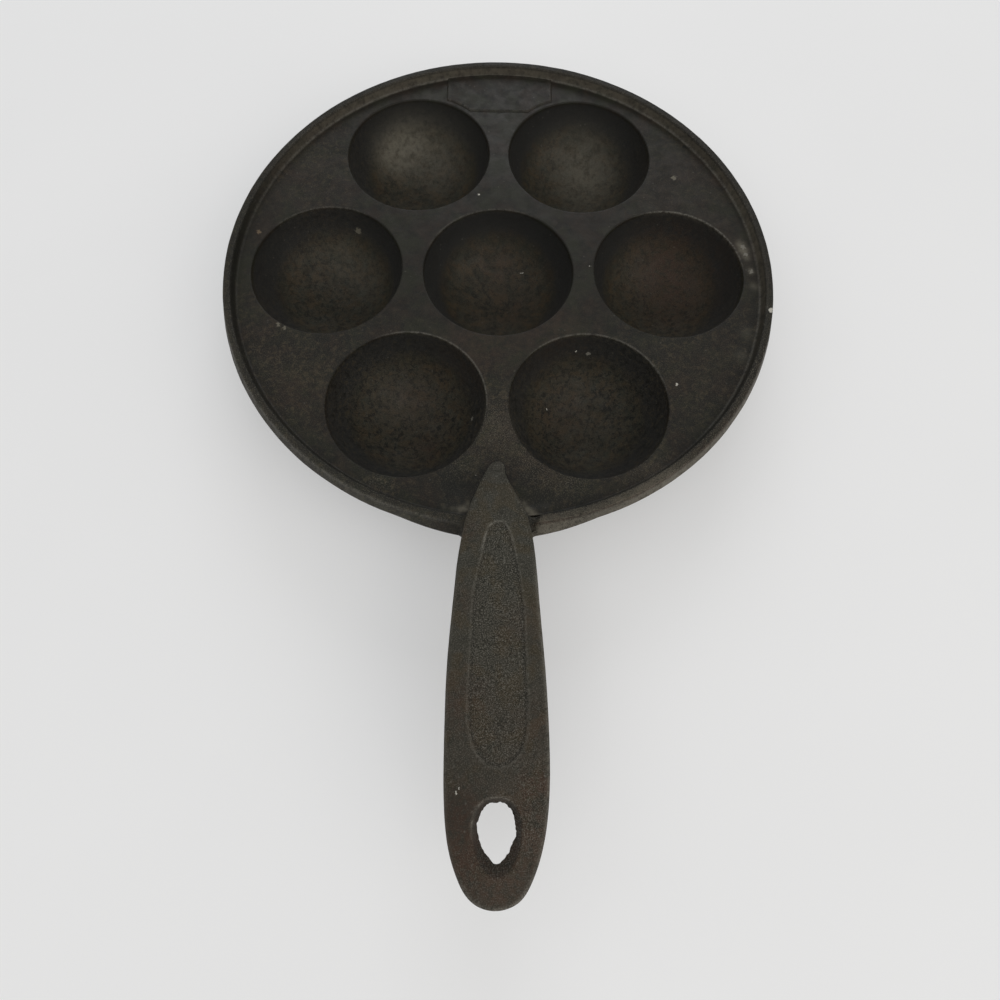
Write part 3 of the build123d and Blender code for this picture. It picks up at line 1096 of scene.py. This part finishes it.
def panel_rings(step):
    """Points along the panel's edge, for a crisp step."""
    outline, outward = panel_outline(0.7 * step)
    return np.concatenate([outline + outward * offset * MM for offset in (-0.75, -0.35, 0.0, 0.35)])


def handle_top(sizes, points):
    """The height of the handle's top at points seen from above, without its rounded edge."""
    distance = -points[:, 1]
    middle, half = handle_span(sizes, distance)
    across = np.clip(np.abs(points[:, 0] - middle) / half, 0, 1.1)
    height = top_line(sizes, distance) - sizes.crown * across**2.2
    sunk = smooth((0.35 * MM - panel_edge(points)) / (1.1 * MM))
    return height - sizes.panel_depth * sunk


def handle_under(sizes, points):
    """The height of the handle's underside at points seen from above."""
    distance = -points[:, 1]
    free = top_line(sizes, distance) - sizes.thickness
    start, _, end = UNDER_KNOTS
    last = top_line(sizes, end) - sizes.thickness
    bend = cubic(UNDER_KNOTS, (deck_low.z, deck_low.z + UNDER_RISE, last), distance)
    under = np.where(distance > end, free, np.where(distance < start, deck_low.z, bend))
    middle, half = handle_span(sizes, distance)
    across = np.clip(np.abs(points[:, 0] - middle) / half, 0, 1.1)
    under = under + 0.5 * sizes.crown * across**2.2 * smooth((distance - 108 * MM) / (20 * MM))
    seated = smooth((SEAT_RADIUS - rim_radius(sizes, points)) / (1.2 * MM))
    return blend(under - 0.05 * MM, deck_high.z - 1.6 * MM, seated)


def hole_ring(count, margin, ragged=0.0):
    """The hanging hole's outline, widened by a margin that grows towards the handle's end."""
    centre = np.array(HOLE_MIDDLE)
    angles = np.arange(count) * FULL_TURN / count
    across = 5.5 * MM + margin
    towards_pan = 6.8 * MM + 0.8 * margin
    towards_end = 9.6 * MM + 2.0 * margin
    pan_side = np.sin(angles) > 0
    pointed = 0.34 * max(0.0, 1 - margin / (1.5 * MM)) * np.sin(angles) ** 2
    aside = np.abs(np.cos(angles))
    narrowed = np.where(pan_side, aside**0.8, aside * (1 - pointed))
    ahead = np.where(pan_side, towards_pan, towards_end)
    x = across * np.sign(np.cos(angles)) * narrowed
    ring = centre + np.stack([x, ahead * np.sin(angles)], 1)
    if ragged:
        flat = raised(ring, 0.0)
        wobble = ragged * (noise(flat, 1.1 * MM, 31) + 0.6 * noise(flat, 0.6 * MM, 32))
        outward = ring - centre
        ring = ring + outward / np.linalg.norm(outward, axis=1)[:, None] * wobble[:, None]
    return ring


def raised(flat, height):
    """Points in space over points seen from above."""
    return np.concatenate([flat, np.broadcast_to(height, len(flat))[:, None]], 1)


# ---- Operators


class MakeCups(bpy.types.Operator):
    """Makes the seven cups, each a closed bowl with its collar of deck"""

    bl_idname = "pan.make_cups"
    bl_label = "Cups"

    def execute(self, context):
        sizes = context.scene.pan_sizes
        step = sizes.step
        top, under = deck_high.z, deck_low.z
        bowl = (sizes.cup_mouth**2 + sizes.cup_depth**2) / (2 * sizes.cup_depth)
        shell = bowl + sizes.cup_wall
        centre = top - sizes.cup_depth + bowl
        reach = math.sqrt(shell**2 - (centre - under) ** 2)
        foot = math.sqrt(shell**2 - centre**2)

        # The bowl from its middle up to the mouth, rounded over into the collar.
        mouth_angle = math.acos((centre - top) / bowl)
        angles = np.linspace(0, mouth_angle, round(bowl * mouth_angle / (0.9 * step)))
        inner = np.stack([bowl * np.sin(angles), centre - bowl * np.cos(angles)], 1)
        lip = rounded((inner[-4], inner[-1], (sizes.collar, top)), (sizes.cup_lip,), 0.25 * step)
        inner = np.concatenate([inner[:-4], lip])
        wall = rounded(((sizes.collar, top), (sizes.collar, under)), (), step)[1:]
        low = under - 0.04 * MM
        flare = rounded(((sizes.collar, low), (reach + 1.15 * MM, low)), (), step)
        low_angle = math.asin(foot / shell)
        high_angle = math.acos((centre - under + 1.6 * MM) / shell)
        angles = np.linspace(high_angle, low_angle, round(shell * (high_angle - low_angle) / step))
        outer = np.stack([shell * np.sin(angles), centre - shell * np.cos(angles)], 1)
        start, end = flare[-1], outer[0]
        sag = (start + end) / 2 + np.array((-0.45, 0.35)) * MM
        bend = [
            (1 - t) ** 2 * start + 2 * t * (1 - t) * sag + t * t * end for t in (0.25, 0.5, 0.75)
        ]
        base = rounded(((foot, 0.0), (0.4 * MM, 0.0)), (), step)[1:]
        line = np.concatenate([inner[1:], wall, flare, bend, outer, base])
        top_count = len(inner) - 1

        lifts = section_lifts(line)
        lifts[top_count - 1] = (0, 1)
        lifts[top_count : top_count + len(wall)] = 0
        lifts[-len(base) - 1 :] = 0

        depth = np.clip((top - line[:, 1]) / sizes.cup_depth, 0, 1)
        depth[top_count:] = 0.35
        # A band round the lip, which carries the painted highlight and the painted shade on the
        # lip.
        wear = bell(line[:, 0] - sizes.cup_mouth - 0.25 * MM, 0.30 * MM)
        wear[top_count:] = 0

        for name, (x, y) in cup_places(sizes).items():
            casting = Casting()
            rings = []
            towards, half, most = LIP_HIGHLIGHTS.get(name, NO_LIP_HIGHLIGHT)
            for (r, z), lift, d, w in zip(line, lifts, depth, wear):
                count = ring_count(r, step)
                turn = circle(1.0, count)
                angles = np.arange(count) * FULL_TURN / count
                points = raised(turn * r + (x, y), z)
                # The depth value leans towards the back of each cup, so the floor's lighter colour
                # climbs higher up the back wall.
                lean = 0.22 * (r / sizes.cup_mouth) * min(1.0, 4 * d) * turn[:, 1]
                d = np.clip(d + lean, 0, 1)
                away = np.concatenate([turn * lift[0], np.full((count, 1), lift[1])], 1)
                # A painted highlight on part of the lip, and painted shade on the rest of the lip's
                # band.
                worn_and_highlight = w * most * arc(angles, towards, half)
                painted_lip_shade = np.clip(w - 2 * worn_and_highlight, 0, 1)
                grit = 0.15 * smooth((d - 0.4) * 2)
                values = {"depth": d, "wear": worn_and_highlight, "hollow": 0.5 * painted_lip_shade, "grit": grit}
                rings.append(casting.add(points, away, **values))
            for first, second in zip(rings, rings[1:]):
                casting.stitch(first, second)
            lowest = (x, y, top - sizes.cup_depth)
            bottom = casting.add([lowest], (0, 0, 1), depth=1.0, grit=0.15)[0]
            casting.cap(rings[0], bottom)
            stand = casting.add([(x, y, 0.0)], (0, 0, 0), depth=0.35)[0]
            casting.cap(rings[-1], stand)
            casting.finish(f"iron_{name}", [name], iron_of("pan"), sizes.relief)
        return {"FINISHED"}


class MakeDeck(bpy.types.Operator):
    """Makes the flat deck between the cups and the rim"""

    bl_idname = "pan.make_deck"
    bl_label = "Deck"

    def execute(self, context):
        sizes = context.scene.pan_sizes
        outline = circle(sizes.seam, ring_count(sizes.seam, sizes.step), (sizes.rim_shift, 0.0))
        count = ring_count(sizes.collar, sizes.step)
        holes = [circle(sizes.collar, count, place) for place in cup_places(sizes).values()]
        inner, triangles = sheet(outline, holes, sizes.step, 21)
        casting = Casting()
        borders = np.concatenate([outline, *holes])
        flat = np.concatenate([borders, inner])
        gap = np.concatenate([np.zeros(len(borders)), clearance(inner, borders)])
        dip = np.zeros(len(flat))
        for middle, reach in DECK_DIPS:
            dip += bell(np.linalg.norm(flat - np.array(middle) * MM, axis=1), reach * MM)
        level = deck_high.z - DECK_DIP_DEPTH * dip * smooth(gap / (3.5 * MM))
        top = casting.add(raised(flat, level), (0, 0, 1))
        low = casting.add(raised(flat, deck_low.z), (0, 0, -1), depth=0.3)
        casting.fill(top, triangles)
        casting.fill(low, triangles[:, ::-1])
        start = 0
        for ring in (outline, *holes):
            stop = start + len(ring)
            casting.band(low[start:stop], top[start:stop])
            start = stop
        casting.finish("iron_deck", ["deck"], iron_of("pan"), sizes.relief)
        return {"FINISHED"}


class MakeRim(bpy.types.Operator):
    """Makes the rim, with its shoulders beside the handle"""

    bl_idname = "pan.make_rim"
    bl_label = "Rim"

    def execute(self, context):
        sizes = context.scene.pan_sizes
        line = rim_line(sizes)
        seam_wall = rounded((line[-1], line[0]), (), sizes.step)[1:-1]
        line = np.concatenate([line, seam_wall])
        upper = len(line) - len(seam_wall)
        lifts = section_lifts(line)
        lifts[0] = (0, 1)
        lifts[upper - 1] = (0, -1)
        lifts[upper:] = 0
        widest = line[:, 0].max()

        span = FULL_TURN - 2 * RIM_GAP
        fine = np.linspace(0, RIM_FINE, round(RIM_FINE * widest / (0.5 * sizes.step)))
        coarse = np.arange(RIM_FINE, span - RIM_FINE, 0.9 * sizes.step / widest)
        turns = np.unique(np.concatenate([fine, coarse, span - fine]).round(9))
        angles = HANDLE_ANGLE + RIM_GAP + turns

        inner_edge = sizes.rim_foot + sizes.rim_slope
        outer_edge = inner_edge + sizes.rim_top
        low_share = smooth((rim_high.z - 0.5 * MM - line[:, 1]) / (5.0 * MM))
        outside = line[:, 0] > outer_edge - 0.2 * MM
        above = line[:, 1] > deck_high.z - 0.1 * MM
        foot_highlight = bell(line[:, 0] - sizes.rim_foot + 0.15 * MM, 0.40 * MM) * above
        slope = bell(line[:, 0] - sizes.rim_foot - 0.6 * sizes.rim_slope, 0.9 * MM) * above
        crest = (line[:, 1] > rim_high.z - 0.5 * MM) * 1.0
        brow = bell(line[:, 0] - outer_edge - 0.1 * MM, 0.45 * MM)
        brow = brow * (line[:, 1] > rim_high.z - 1.5 * MM)

        casting = Casting()
        stations = []
        for angle in angles:
            out = np.array((math.cos(angle), math.sin(angle)))
            back = arc(angle, 70, 115)
            near_left = arc(angle, 222, 48)
            near_right = arc(angle, 305, 45)
            root_right = arc(angle, 292, 22)
            # A painted highlight along the foot at the back and front right. The outer top edge
            # lighter, most at the near left: edge wear and partly a painted highlight. The
            # near-right outer wall lighter: a painted reflection of the floor.
            wear = foot_highlight * (0.36 * arc(angle, 80, 105) + 0.24 * arc(angle, 336, 26))
            wear = wear + brow * (0.06 + 0.38 * near_left)
            wall = outside * (1 - brow)
            wear = wear + wall * (0.30 * near_right + 0.05 * near_left)
            # Painted shade on the inner slope except at the back, a darker top, more so at the
            # back, and painted shade on the outer wall away from the near sides.
            hollow = slope * 0.9 * (1 - back) + crest * (0.30 + 0.35 * back) * (1 - root_right)
            hollow = hollow + 0.25 * wall * (1 - near_left) * (1 - near_right)
            # Painted light on the back of the inner slope and on the near outer walls, and a
            # lighter top beside the handle's right.
            pale = 0.56 * slope * back + wall * (0.85 * near_right + 0.14 * near_left)
            pale = pale + crest * (0.44 * root_right + 0.05 * near_left)
            # A warm tint that is painted light on the back of the inner slope and the near-right
            # outer wall, and a warmer near-right top.
            rust = 0.45 * slope * back + (0.95 * outside + 0.30 * crest) * near_right
            grit = crest * (0.45 + 0.4 * near_right)
            grit = grit + outside * (0.9 * near_right + 0.6 * near_left)
            x = sizes.rim_shift + line[:, 0] * out[0]
            swell, cove, dip = np.zeros((3, len(line)))
            if out[1] < 0:
                away = line[:, 0] * out[0] / SHOULDER_REACH
                swell = sizes.shoulder * np.clip(1 - away**2, 0, 1) ** 1.4
                middle, half = handle_span(sizes, -line[:, 0] * out[1])
                cove = np.clip(1 - (np.abs(x - middle) - half) / COVE, 0, 1)
                cove = COVE * (1 - np.sqrt(np.clip(1 - cove**2, 0, 1)))
                lean = 0.6 * (line[:, 0] - inner_edge)
                dip = smooth((NOTCH_END - x - lean) / (2.2 * MM)) * (x > 0)
                dip = dip * smooth((line[:, 1] - deck_high.z) / (1.5 * MM))
            radius = line[:, 0] + outside * (low_share * swell + cove * smooth(low_share * 4))
            height = line[:, 1] - NOTCH_DEPTH * dip
            points = np.stack([sizes.rim_shift + radius * out[0], radius * out[1], height], 1)
            away = np.stack([lifts[:, 0] * out[0], lifts[:, 0] * out[1], lifts[:, 1]], 1)
            ease = smooth((np.abs(x).min() - 9 * MM) / (6 * MM)) if out[1] < 0 else 1.0
            # Painted shade in the notch beside the handle.
            hollow = np.clip(hollow + 0.7 * dip, 0, 1)
            values = {"wear": wear, "hollow": hollow, "pale": pale, "rust": rust, "grit": grit}
            stations.append(casting.add(points, away * ease, **values))
        casting.bands(stations)
        for station in (stations[0], stations[-1]):
            middle_point = np.concatenate(casting.points)[station].mean(axis=0)
            casting.cap(station, casting.add([middle_point], (0, 0, 0))[0])
        casting.finish("iron_rim", ["rim"], iron_of("pan"), sizes.relief)
        return {"FINISHED"}


class MakePlaque(bpy.types.Operator):
    """Makes the thin bare plaque on the deck, opposite the handle"""

    bl_idname = "pan.make_plaque"
    bl_label = "Plaque"

    def execute(self, context):
        sizes = context.scene.pan_sizes
        half = plaque_high.x - 0.2 * MM
        near = plaque_low.y
        cup = np.array(cup_places(sizes)["cup_back_right"])
        step = 0.7 * sizes.step
        reach = sizes.collar + 0.1 * MM
        start = math.asin((near - cup[1]) / reach)
        stop = math.acos((half - cup[0]) / reach)
        turns = np.linspace(math.pi - start, stop, round(reach * (math.pi - start - stop) / step))
        bite = cup + reach * np.stack([np.cos(turns), np.sin(turns)], 1)
        edge = sizes.rim_foot + 0.1 * MM
        last = math.atan2(math.sqrt(edge**2 - half**2), half)
        far = np.linspace(last, math.pi - last, round(edge * (math.pi - 2 * last) / step))
        far = edge * np.stack([np.cos(far), np.sin(far)], 1)
        side = rounded((bite[-1], far[0]), (), step)[1:-1]
        front = rounded((bite[0] * (-1, 1), bite[0]), (), step)[1:-1]
        right = np.concatenate([bite, side])
        left = (right * (-1, 1))[::-1]
        outline = np.concatenate([front, right, far, left])
        keep = np.linalg.norm(np.roll(outline, -1, axis=0) - outline, axis=1) > 0.05 * MM
        outline = outline[keep]
        ahead = np.roll(outline, -1, axis=0) - np.roll(outline, 1, axis=0)
        outward = np.stack([ahead[:, 1], -ahead[:, 0]], 1)
        for _ in range(3):
            outward = outward + np.roll(outward, 1, axis=0) + np.roll(outward, -1, axis=0)
        outward /= np.linalg.norm(outward, axis=1)[:, None]

        casting = Casting()
        rings = []
        height = plaque_high.z - deck_high.z
        for offset, share in PLAQUE_SECTION:
            wear = 0.14 * bell(share - 0.8, 0.3)
            points = raised(outline + outward * offset * MM, deck_high.z + share * height)
            rings.append(casting.add(points, (0, 0, 1), wear=wear))
        casting.bands(rings)
        for ring, level, direction in ((rings[-1], 1.0, 1), (rings[0], -1.0, -1)):
            border = np.concatenate(casting.points)[ring][:, :2]
            inner, triangles = sheet(border, [], sizes.step, 22)
            numbers = casting.add(raised(inner, deck_high.z + level * height), (0, 0, 1))
            casting.fill(np.concatenate([ring, numbers]), triangles[:, ::direction])
        casting.finish("iron_plaque", ["plaque"], iron_of("pan"), sizes.relief)
        return {"FINISHED"}


class MakeHandle(bpy.types.Operator):
    """Makes the handle in one piece, from the tongue on the deck to the hanging hole"""

    bl_idname = "pan.make_handle"
    bl_label = "Handle"

    def execute(self, context):
        sizes = context.scene.pan_sizes
        step = 0.75 * sizes.step
        outline, outward = handle_outline(sizes, step)
        distance = -outline[:, 1]
        radius = rim_radius(sizes, outline)
        seated = smooth((SEAT_END - radius) / SEAT_FADE)
        edge = blend(0.5 * MM, sizes.edge, smooth((distance - sizes.tip) / (12 * MM)))
        low_edge = np.minimum(edge, 1.2 * MM)
        right = outline[:, 0] > 0

        top = handle_top(sizes, outline - outward * edge[:, None])
        under = handle_under(sizes, outline - outward * low_edge[:, None])
        surface = pan_height(sizes, outline)
        casting = Casting()
        rings = []

        def ring(offset, height, **values):
            """A ring round the outline, at an offset outwards and a height, each point by point."""
            flat = outline + outward * np.broadcast_to(offset, len(outline))[:, None]
            lift = np.concatenate([outward * 0.6, np.full((len(outline), 1), 0.5)], 1)
            lift *= smooth((distance - 100 * MM) / (8 * MM))[:, None]
            rings.append(casting.add(raised(flat, height), lift, **values))

        # Upper edge, from the top down to the side.
        # Edge wear and painted highlight along the upper edge, stronger on the right side and at
        # the end.
        edge_wear_and_highlight = np.where(right, 0.55, 0.22) * smooth((distance - 112 * MM) / (12 * MM)) + 0.05
        edge_wear_and_highlight = edge_wear_and_highlight + 0.30 * smooth((distance - 208 * MM) / (6 * MM))
        for turn in np.radians((0, 18, 36, 54, 72, 90)):
            wear = edge_wear_and_highlight * bell(turn - math.radians(50), 0.5)
            height = top - edge * (1 - math.cos(turn))
            ring(-edge * (1 - math.sin(turn)), height, wear=wear, grit=0.25)
        # Side: down to a hollow foot on the deck and rim, or on down to the parting line.
        brow = top - edge
        parting = blend(top, under, 0.5)
        landing = np.maximum(np.minimum(surface + FOOT, brow - 0.1 * MM), under + 1.4 * MM)
        for share in (0.5, 1.0):
            height = blend(brow, blend(parting, landing, seated), share)
            ring(RIDGE * share * (1 - seated), height)
        # The foot's rings get painted shade where the handle sits on the deck and rim.
        for turn in np.radians((22, 45, 68, 90)):
            share = turn / math.radians(90)
            offset = FOOT * (1 - math.cos(turn))
            flat = outline + outward * (offset * seated)[:, None]
            ground = pan_height(sizes, flat) - 0.22 * MM * share
            sunk = np.minimum(landing, ground + FOOT * (1 - math.sin(turn)))
            free = blend(parting, under + 1.2 * MM, share)
            offset = offset * seated + RIDGE * (1 - share) * (1 - seated)
            ring(offset, blend(free, sunk, seated), hollow=0.8 * seated)
        # Lower edge and underside.
        tuck = seated * 0.9 * MM
        for turn in np.radians((0, 30, 60, 90)):
            offset = -low_edge * (1 - math.cos(turn)) - tuck * (1 - turn / math.radians(90))
            ring(offset, under + low_edge * (1 - math.sin(turn)) * (1 - seated))
        casting.bands(rings)

        # Hanging hole: two funnels that meet in a ragged throat.
        mouth = hole_ring(HOLE_COUNT, HOLE_PROFILE[0][0] * MM)
        middle = top_line(sizes, -HOLE_MIDDLE[1]) - sizes.thickness / 2
        high = handle_top(sizes, mouth)
        low = handle_under(sizes, mouth)
        turns = np.arange(HOLE_COUNT) * FULL_TURN / HOLE_COUNT
        hole = []
        for margin, share, ragged in HOLE_PROFILE:
            flat = hole_ring(HOLE_COUNT, margin * MM, ragged * MM)
            level = middle + np.where(share > 0, (high - middle) * share, (middle - low) * share)
            # A painted highlight on the upper mouth's bevel on one side, painted shade in the
            # throat, and rust on the upper mouth.
            worn_and_highlight = 0.9 * bell(margin - 1.7, 0.35) * (share > 0) * arc(turns, 120, 85)
            painted_throat_shade = 0.40 * (abs(share) < 0.9) * (1 - 0.7 * arc(turns, 140, 90))
            tan = 0.6 * bell(margin - 1.5, 0.7) * (share > 0)
            values = {"wear": worn_and_highlight, "hollow": painted_throat_shade, "rust": tan, "grit": 0.4}
            hole.append(casting.add(raised(flat, level), (0, 0, 0), **values))
        casting.bands(hole)

        # Top and underside between the rings.
        all_points = np.concatenate(casting.points)
        for level, border, hollow_ring, seed in (
            (handle_top, rings[0], hole[0], 23),
            (handle_under, rings[-1], hole[-1], 24),
        ):
            extra = panel_rings(sizes.step) if level is handle_top else None
            inner, triangles = sheet(
                all_points[border][:, :2], [all_points[hollow_ring][:, :2]], step, seed, extra
            )
            up = 1.0 if level is handle_top else -1.0
            values = {}
            if level is handle_top:
                gap = panel_edge(inner)
                sunk = smooth(0.5 - gap / MM)
                upper = smooth((124 * MM + inner[:, 1]) / (14 * MM))
                crisp = np.where(inner[:, 0] < 0, 0.30 + 0.60 * upper, 0.25 + 0.30 * upper)
                values["wear"] = crisp * bell(gap - 0.3 * MM, 0.32 * MM)
                # Painted shade in the sunk panel's corner.
                values["hollow"] = 0.45 * bell(gap + 0.6 * MM, 0.45 * MM)
                values["grit"] = 0.24 + 0.46 * sunk
                tongue = smooth((103 * MM + inner[:, 1]) / (6 * MM))
                values["sheen"] = 0.5 * tongue
                values["grit"] = values["grit"] * (1 - 0.8 * tongue)
            lift = np.zeros((len(inner), 3))
            lift[:, 2] = up * smooth((-inner[:, 1] - 88 * MM) / (10 * MM))
            numbers = casting.add(raised(inner, level(sizes, inner)), lift, **values)
            casting.fill(np.concatenate([border, hollow_ring, numbers]), triangles)
        casting.finish("iron_handle", ["handle", "handle_root"], iron_of("handle"), sizes.relief)
        return {"FINISHED"}


class MakeStage(bpy.types.Operator):
    """Makes the floor, the lights and the camera"""

    bl_idname = "pan.make_stage"
    bl_label = "Stage"

    def execute(self, context):
        looks = context.scene.pan_stage
        self.lay_floor(looks)
        self.hang_lights(looks)
        self.place_camera(context)
        context.scene.view_settings.view_transform = "Standard"
        return {"FINISHED"}

    def lay_floor(self, looks):
        """A wide pale floor."""
        nodes = Nodes("pale_floor")
        place = nodes.node("ShaderNodeTexCoord").outputs["Object"]
        cloud = nodes.noise(place, 0.12, 3.0)
        darker = [value * 0.985 for value in looks.floor]
        tint = nodes.mix(nodes.between(cloud, 0.35, 0.65), darker, looks.floor)
        shader = nodes.node("ShaderNodeBsdfPrincipled")
        nodes.feed(shader.inputs["Base Color"], tint)
        grain = nodes.noise(place, 1.2 * MM, 2.0)
        nodes.feed(shader.inputs["Normal"], nodes.bump(grain, 0.03 * MM, 0.3))
        shader.inputs["Roughness"].default_value = 0.6
        shader.inputs["Specular IOR Level"].default_value = 0.2
        shader.inputs["Emission Color"].default_value = (1.0, 1.0, 1.0, 1.0)
        shader.inputs["Emission Strength"].default_value = looks.glow
        output = nodes.node("ShaderNodeOutputMaterial")
        nodes.feed(output.inputs["Surface"], shader.outputs[0])
        mesh = bpy.data.meshes.new("floor")
        half = FLOOR_HALF
        corners = [(-half, -half, 0), (half, -half, 0), (half, half, 0), (-half, half, 0)]
        mesh.from_pydata(corners, [], [(0, 1, 2, 3)])
        mesh.materials.append(nodes.material)
        floor = bpy.data.objects.new("floor", mesh)
        bpy.context.scene.collection.objects.link(floor)

    def hang_lights(self, looks):
        """Soft lights from behind, the front right, above the handle and the left, and a fill."""
        for name, turn, rise, away, size, tint in LIGHTS:
            data = bpy.data.lights.new(name, "AREA")
            data.shape = "RECTANGLE"
            data.size, data.size_y = size
            data.energy = getattr(looks, name)
            data.color = tint
            turn, rise = math.radians(turn), math.radians(rise)
            level = math.cos(rise)
            back = np.array((math.sin(turn) * level, math.cos(turn) * level, math.sin(rise)))
            light = bpy.data.objects.new(name, data)
            place = (back * away + LIGHTS_TARGET).tolist()
            light.matrix_world = Matrix.Translation(place) @ self.turned(*axes(back), back)
            bpy.context.scene.collection.objects.link(light)
        world = bpy.data.worlds.new("studio")
        world.use_nodes = True
        background = world.node_tree.nodes["Background"]
        background.inputs["Color"].default_value = (0.98, 0.99, 1.0, 1.0)
        background.inputs["Strength"].default_value = looks.fill
        bpy.context.scene.world = world

    def turned(self, across, upward, back):
        """The turn that gives an object these axes."""
        return Matrix(np.stack([across, upward, back], 1).tolist()).to_4x4()

    def place_camera(self, context):
        """The camera at the photograph's place."""
        elevation, yaw, roll = np.radians(CAMERA_ANGLES)
        level = math.cos(elevation)
        back = np.array((math.sin(yaw) * level, -math.cos(yaw) * level, math.sin(elevation)))
        right, up = axes(back)
        across = right * math.cos(roll) + up * math.sin(roll)
        upward = -right * math.sin(roll) + up * math.cos(roll)
        data = bpy.data.cameras.new("camera")
        data.sensor_width = CAMERA_SENSOR
        data.lens = CAMERA_LENS
        data.clip_start = 0.01
        camera = bpy.data.objects.new("camera", data)
        place = np.array((*CAMERA_TARGET, deck_high.z)) + back * CAMERA_DISTANCE
        camera.matrix_world = Matrix.Translation(place) @ self.turned(across, upward, back)
        context.scene.collection.objects.link(camera)
        context.scene.camera = camera


class PanPanel(bpy.types.Panel):
    """Lists the pan's operators, sizes and colours"""

    bl_idname = "VIEW3D_PT_ball_pancake_pan"
    bl_label = "Ball Pancake Pan"
    bl_space_type = "VIEW_3D"
    bl_region_type = "UI"
    bl_category = "Pan"

    def draw(self, context):
        for operator in OPERATORS:
            self.layout.operator(operator.bl_idname)
        for group in (context.scene.pan_sizes, context.scene.pan_iron, context.scene.pan_stage):
            box = self.layout.box()
            for name in group.__annotations__:
                box.prop(group, name)


OPERATORS = (MakeCups, MakeDeck, MakeRim, MakePlaque, MakeHandle, MakeStage)
GROUPS = {"pan_sizes": PanSizes, "pan_iron": IronLooks, "pan_stage": StageLooks}


def register():
    """Adds the classes, and the sizes and colours to the scene."""
    for piece in (*GROUPS.values(), *OPERATORS, PanPanel):
        bpy.utils.register_class(piece)
    for name, group in GROUPS.items():
        setattr(bpy.types.Scene, name, bpy.props.PointerProperty(type=group))


def unregister():
    """Takes them away again."""
    for name in GROUPS:
        delattr(bpy.types.Scene, name)
    for piece in reversed((*GROUPS.values(), *OPERATORS, PanPanel)):
        bpy.utils.unregister_class(piece)


def main():
    """Makes the pan and its stage."""
    register()
    bpy.ops.pan.make_cups()
    bpy.ops.pan.make_deck()
    bpy.ops.pan.make_rim()
    bpy.ops.pan.make_plaque()
    bpy.ops.pan.make_handle()
    bpy.ops.pan.make_stage()


if __name__ == "__main__":
    main()
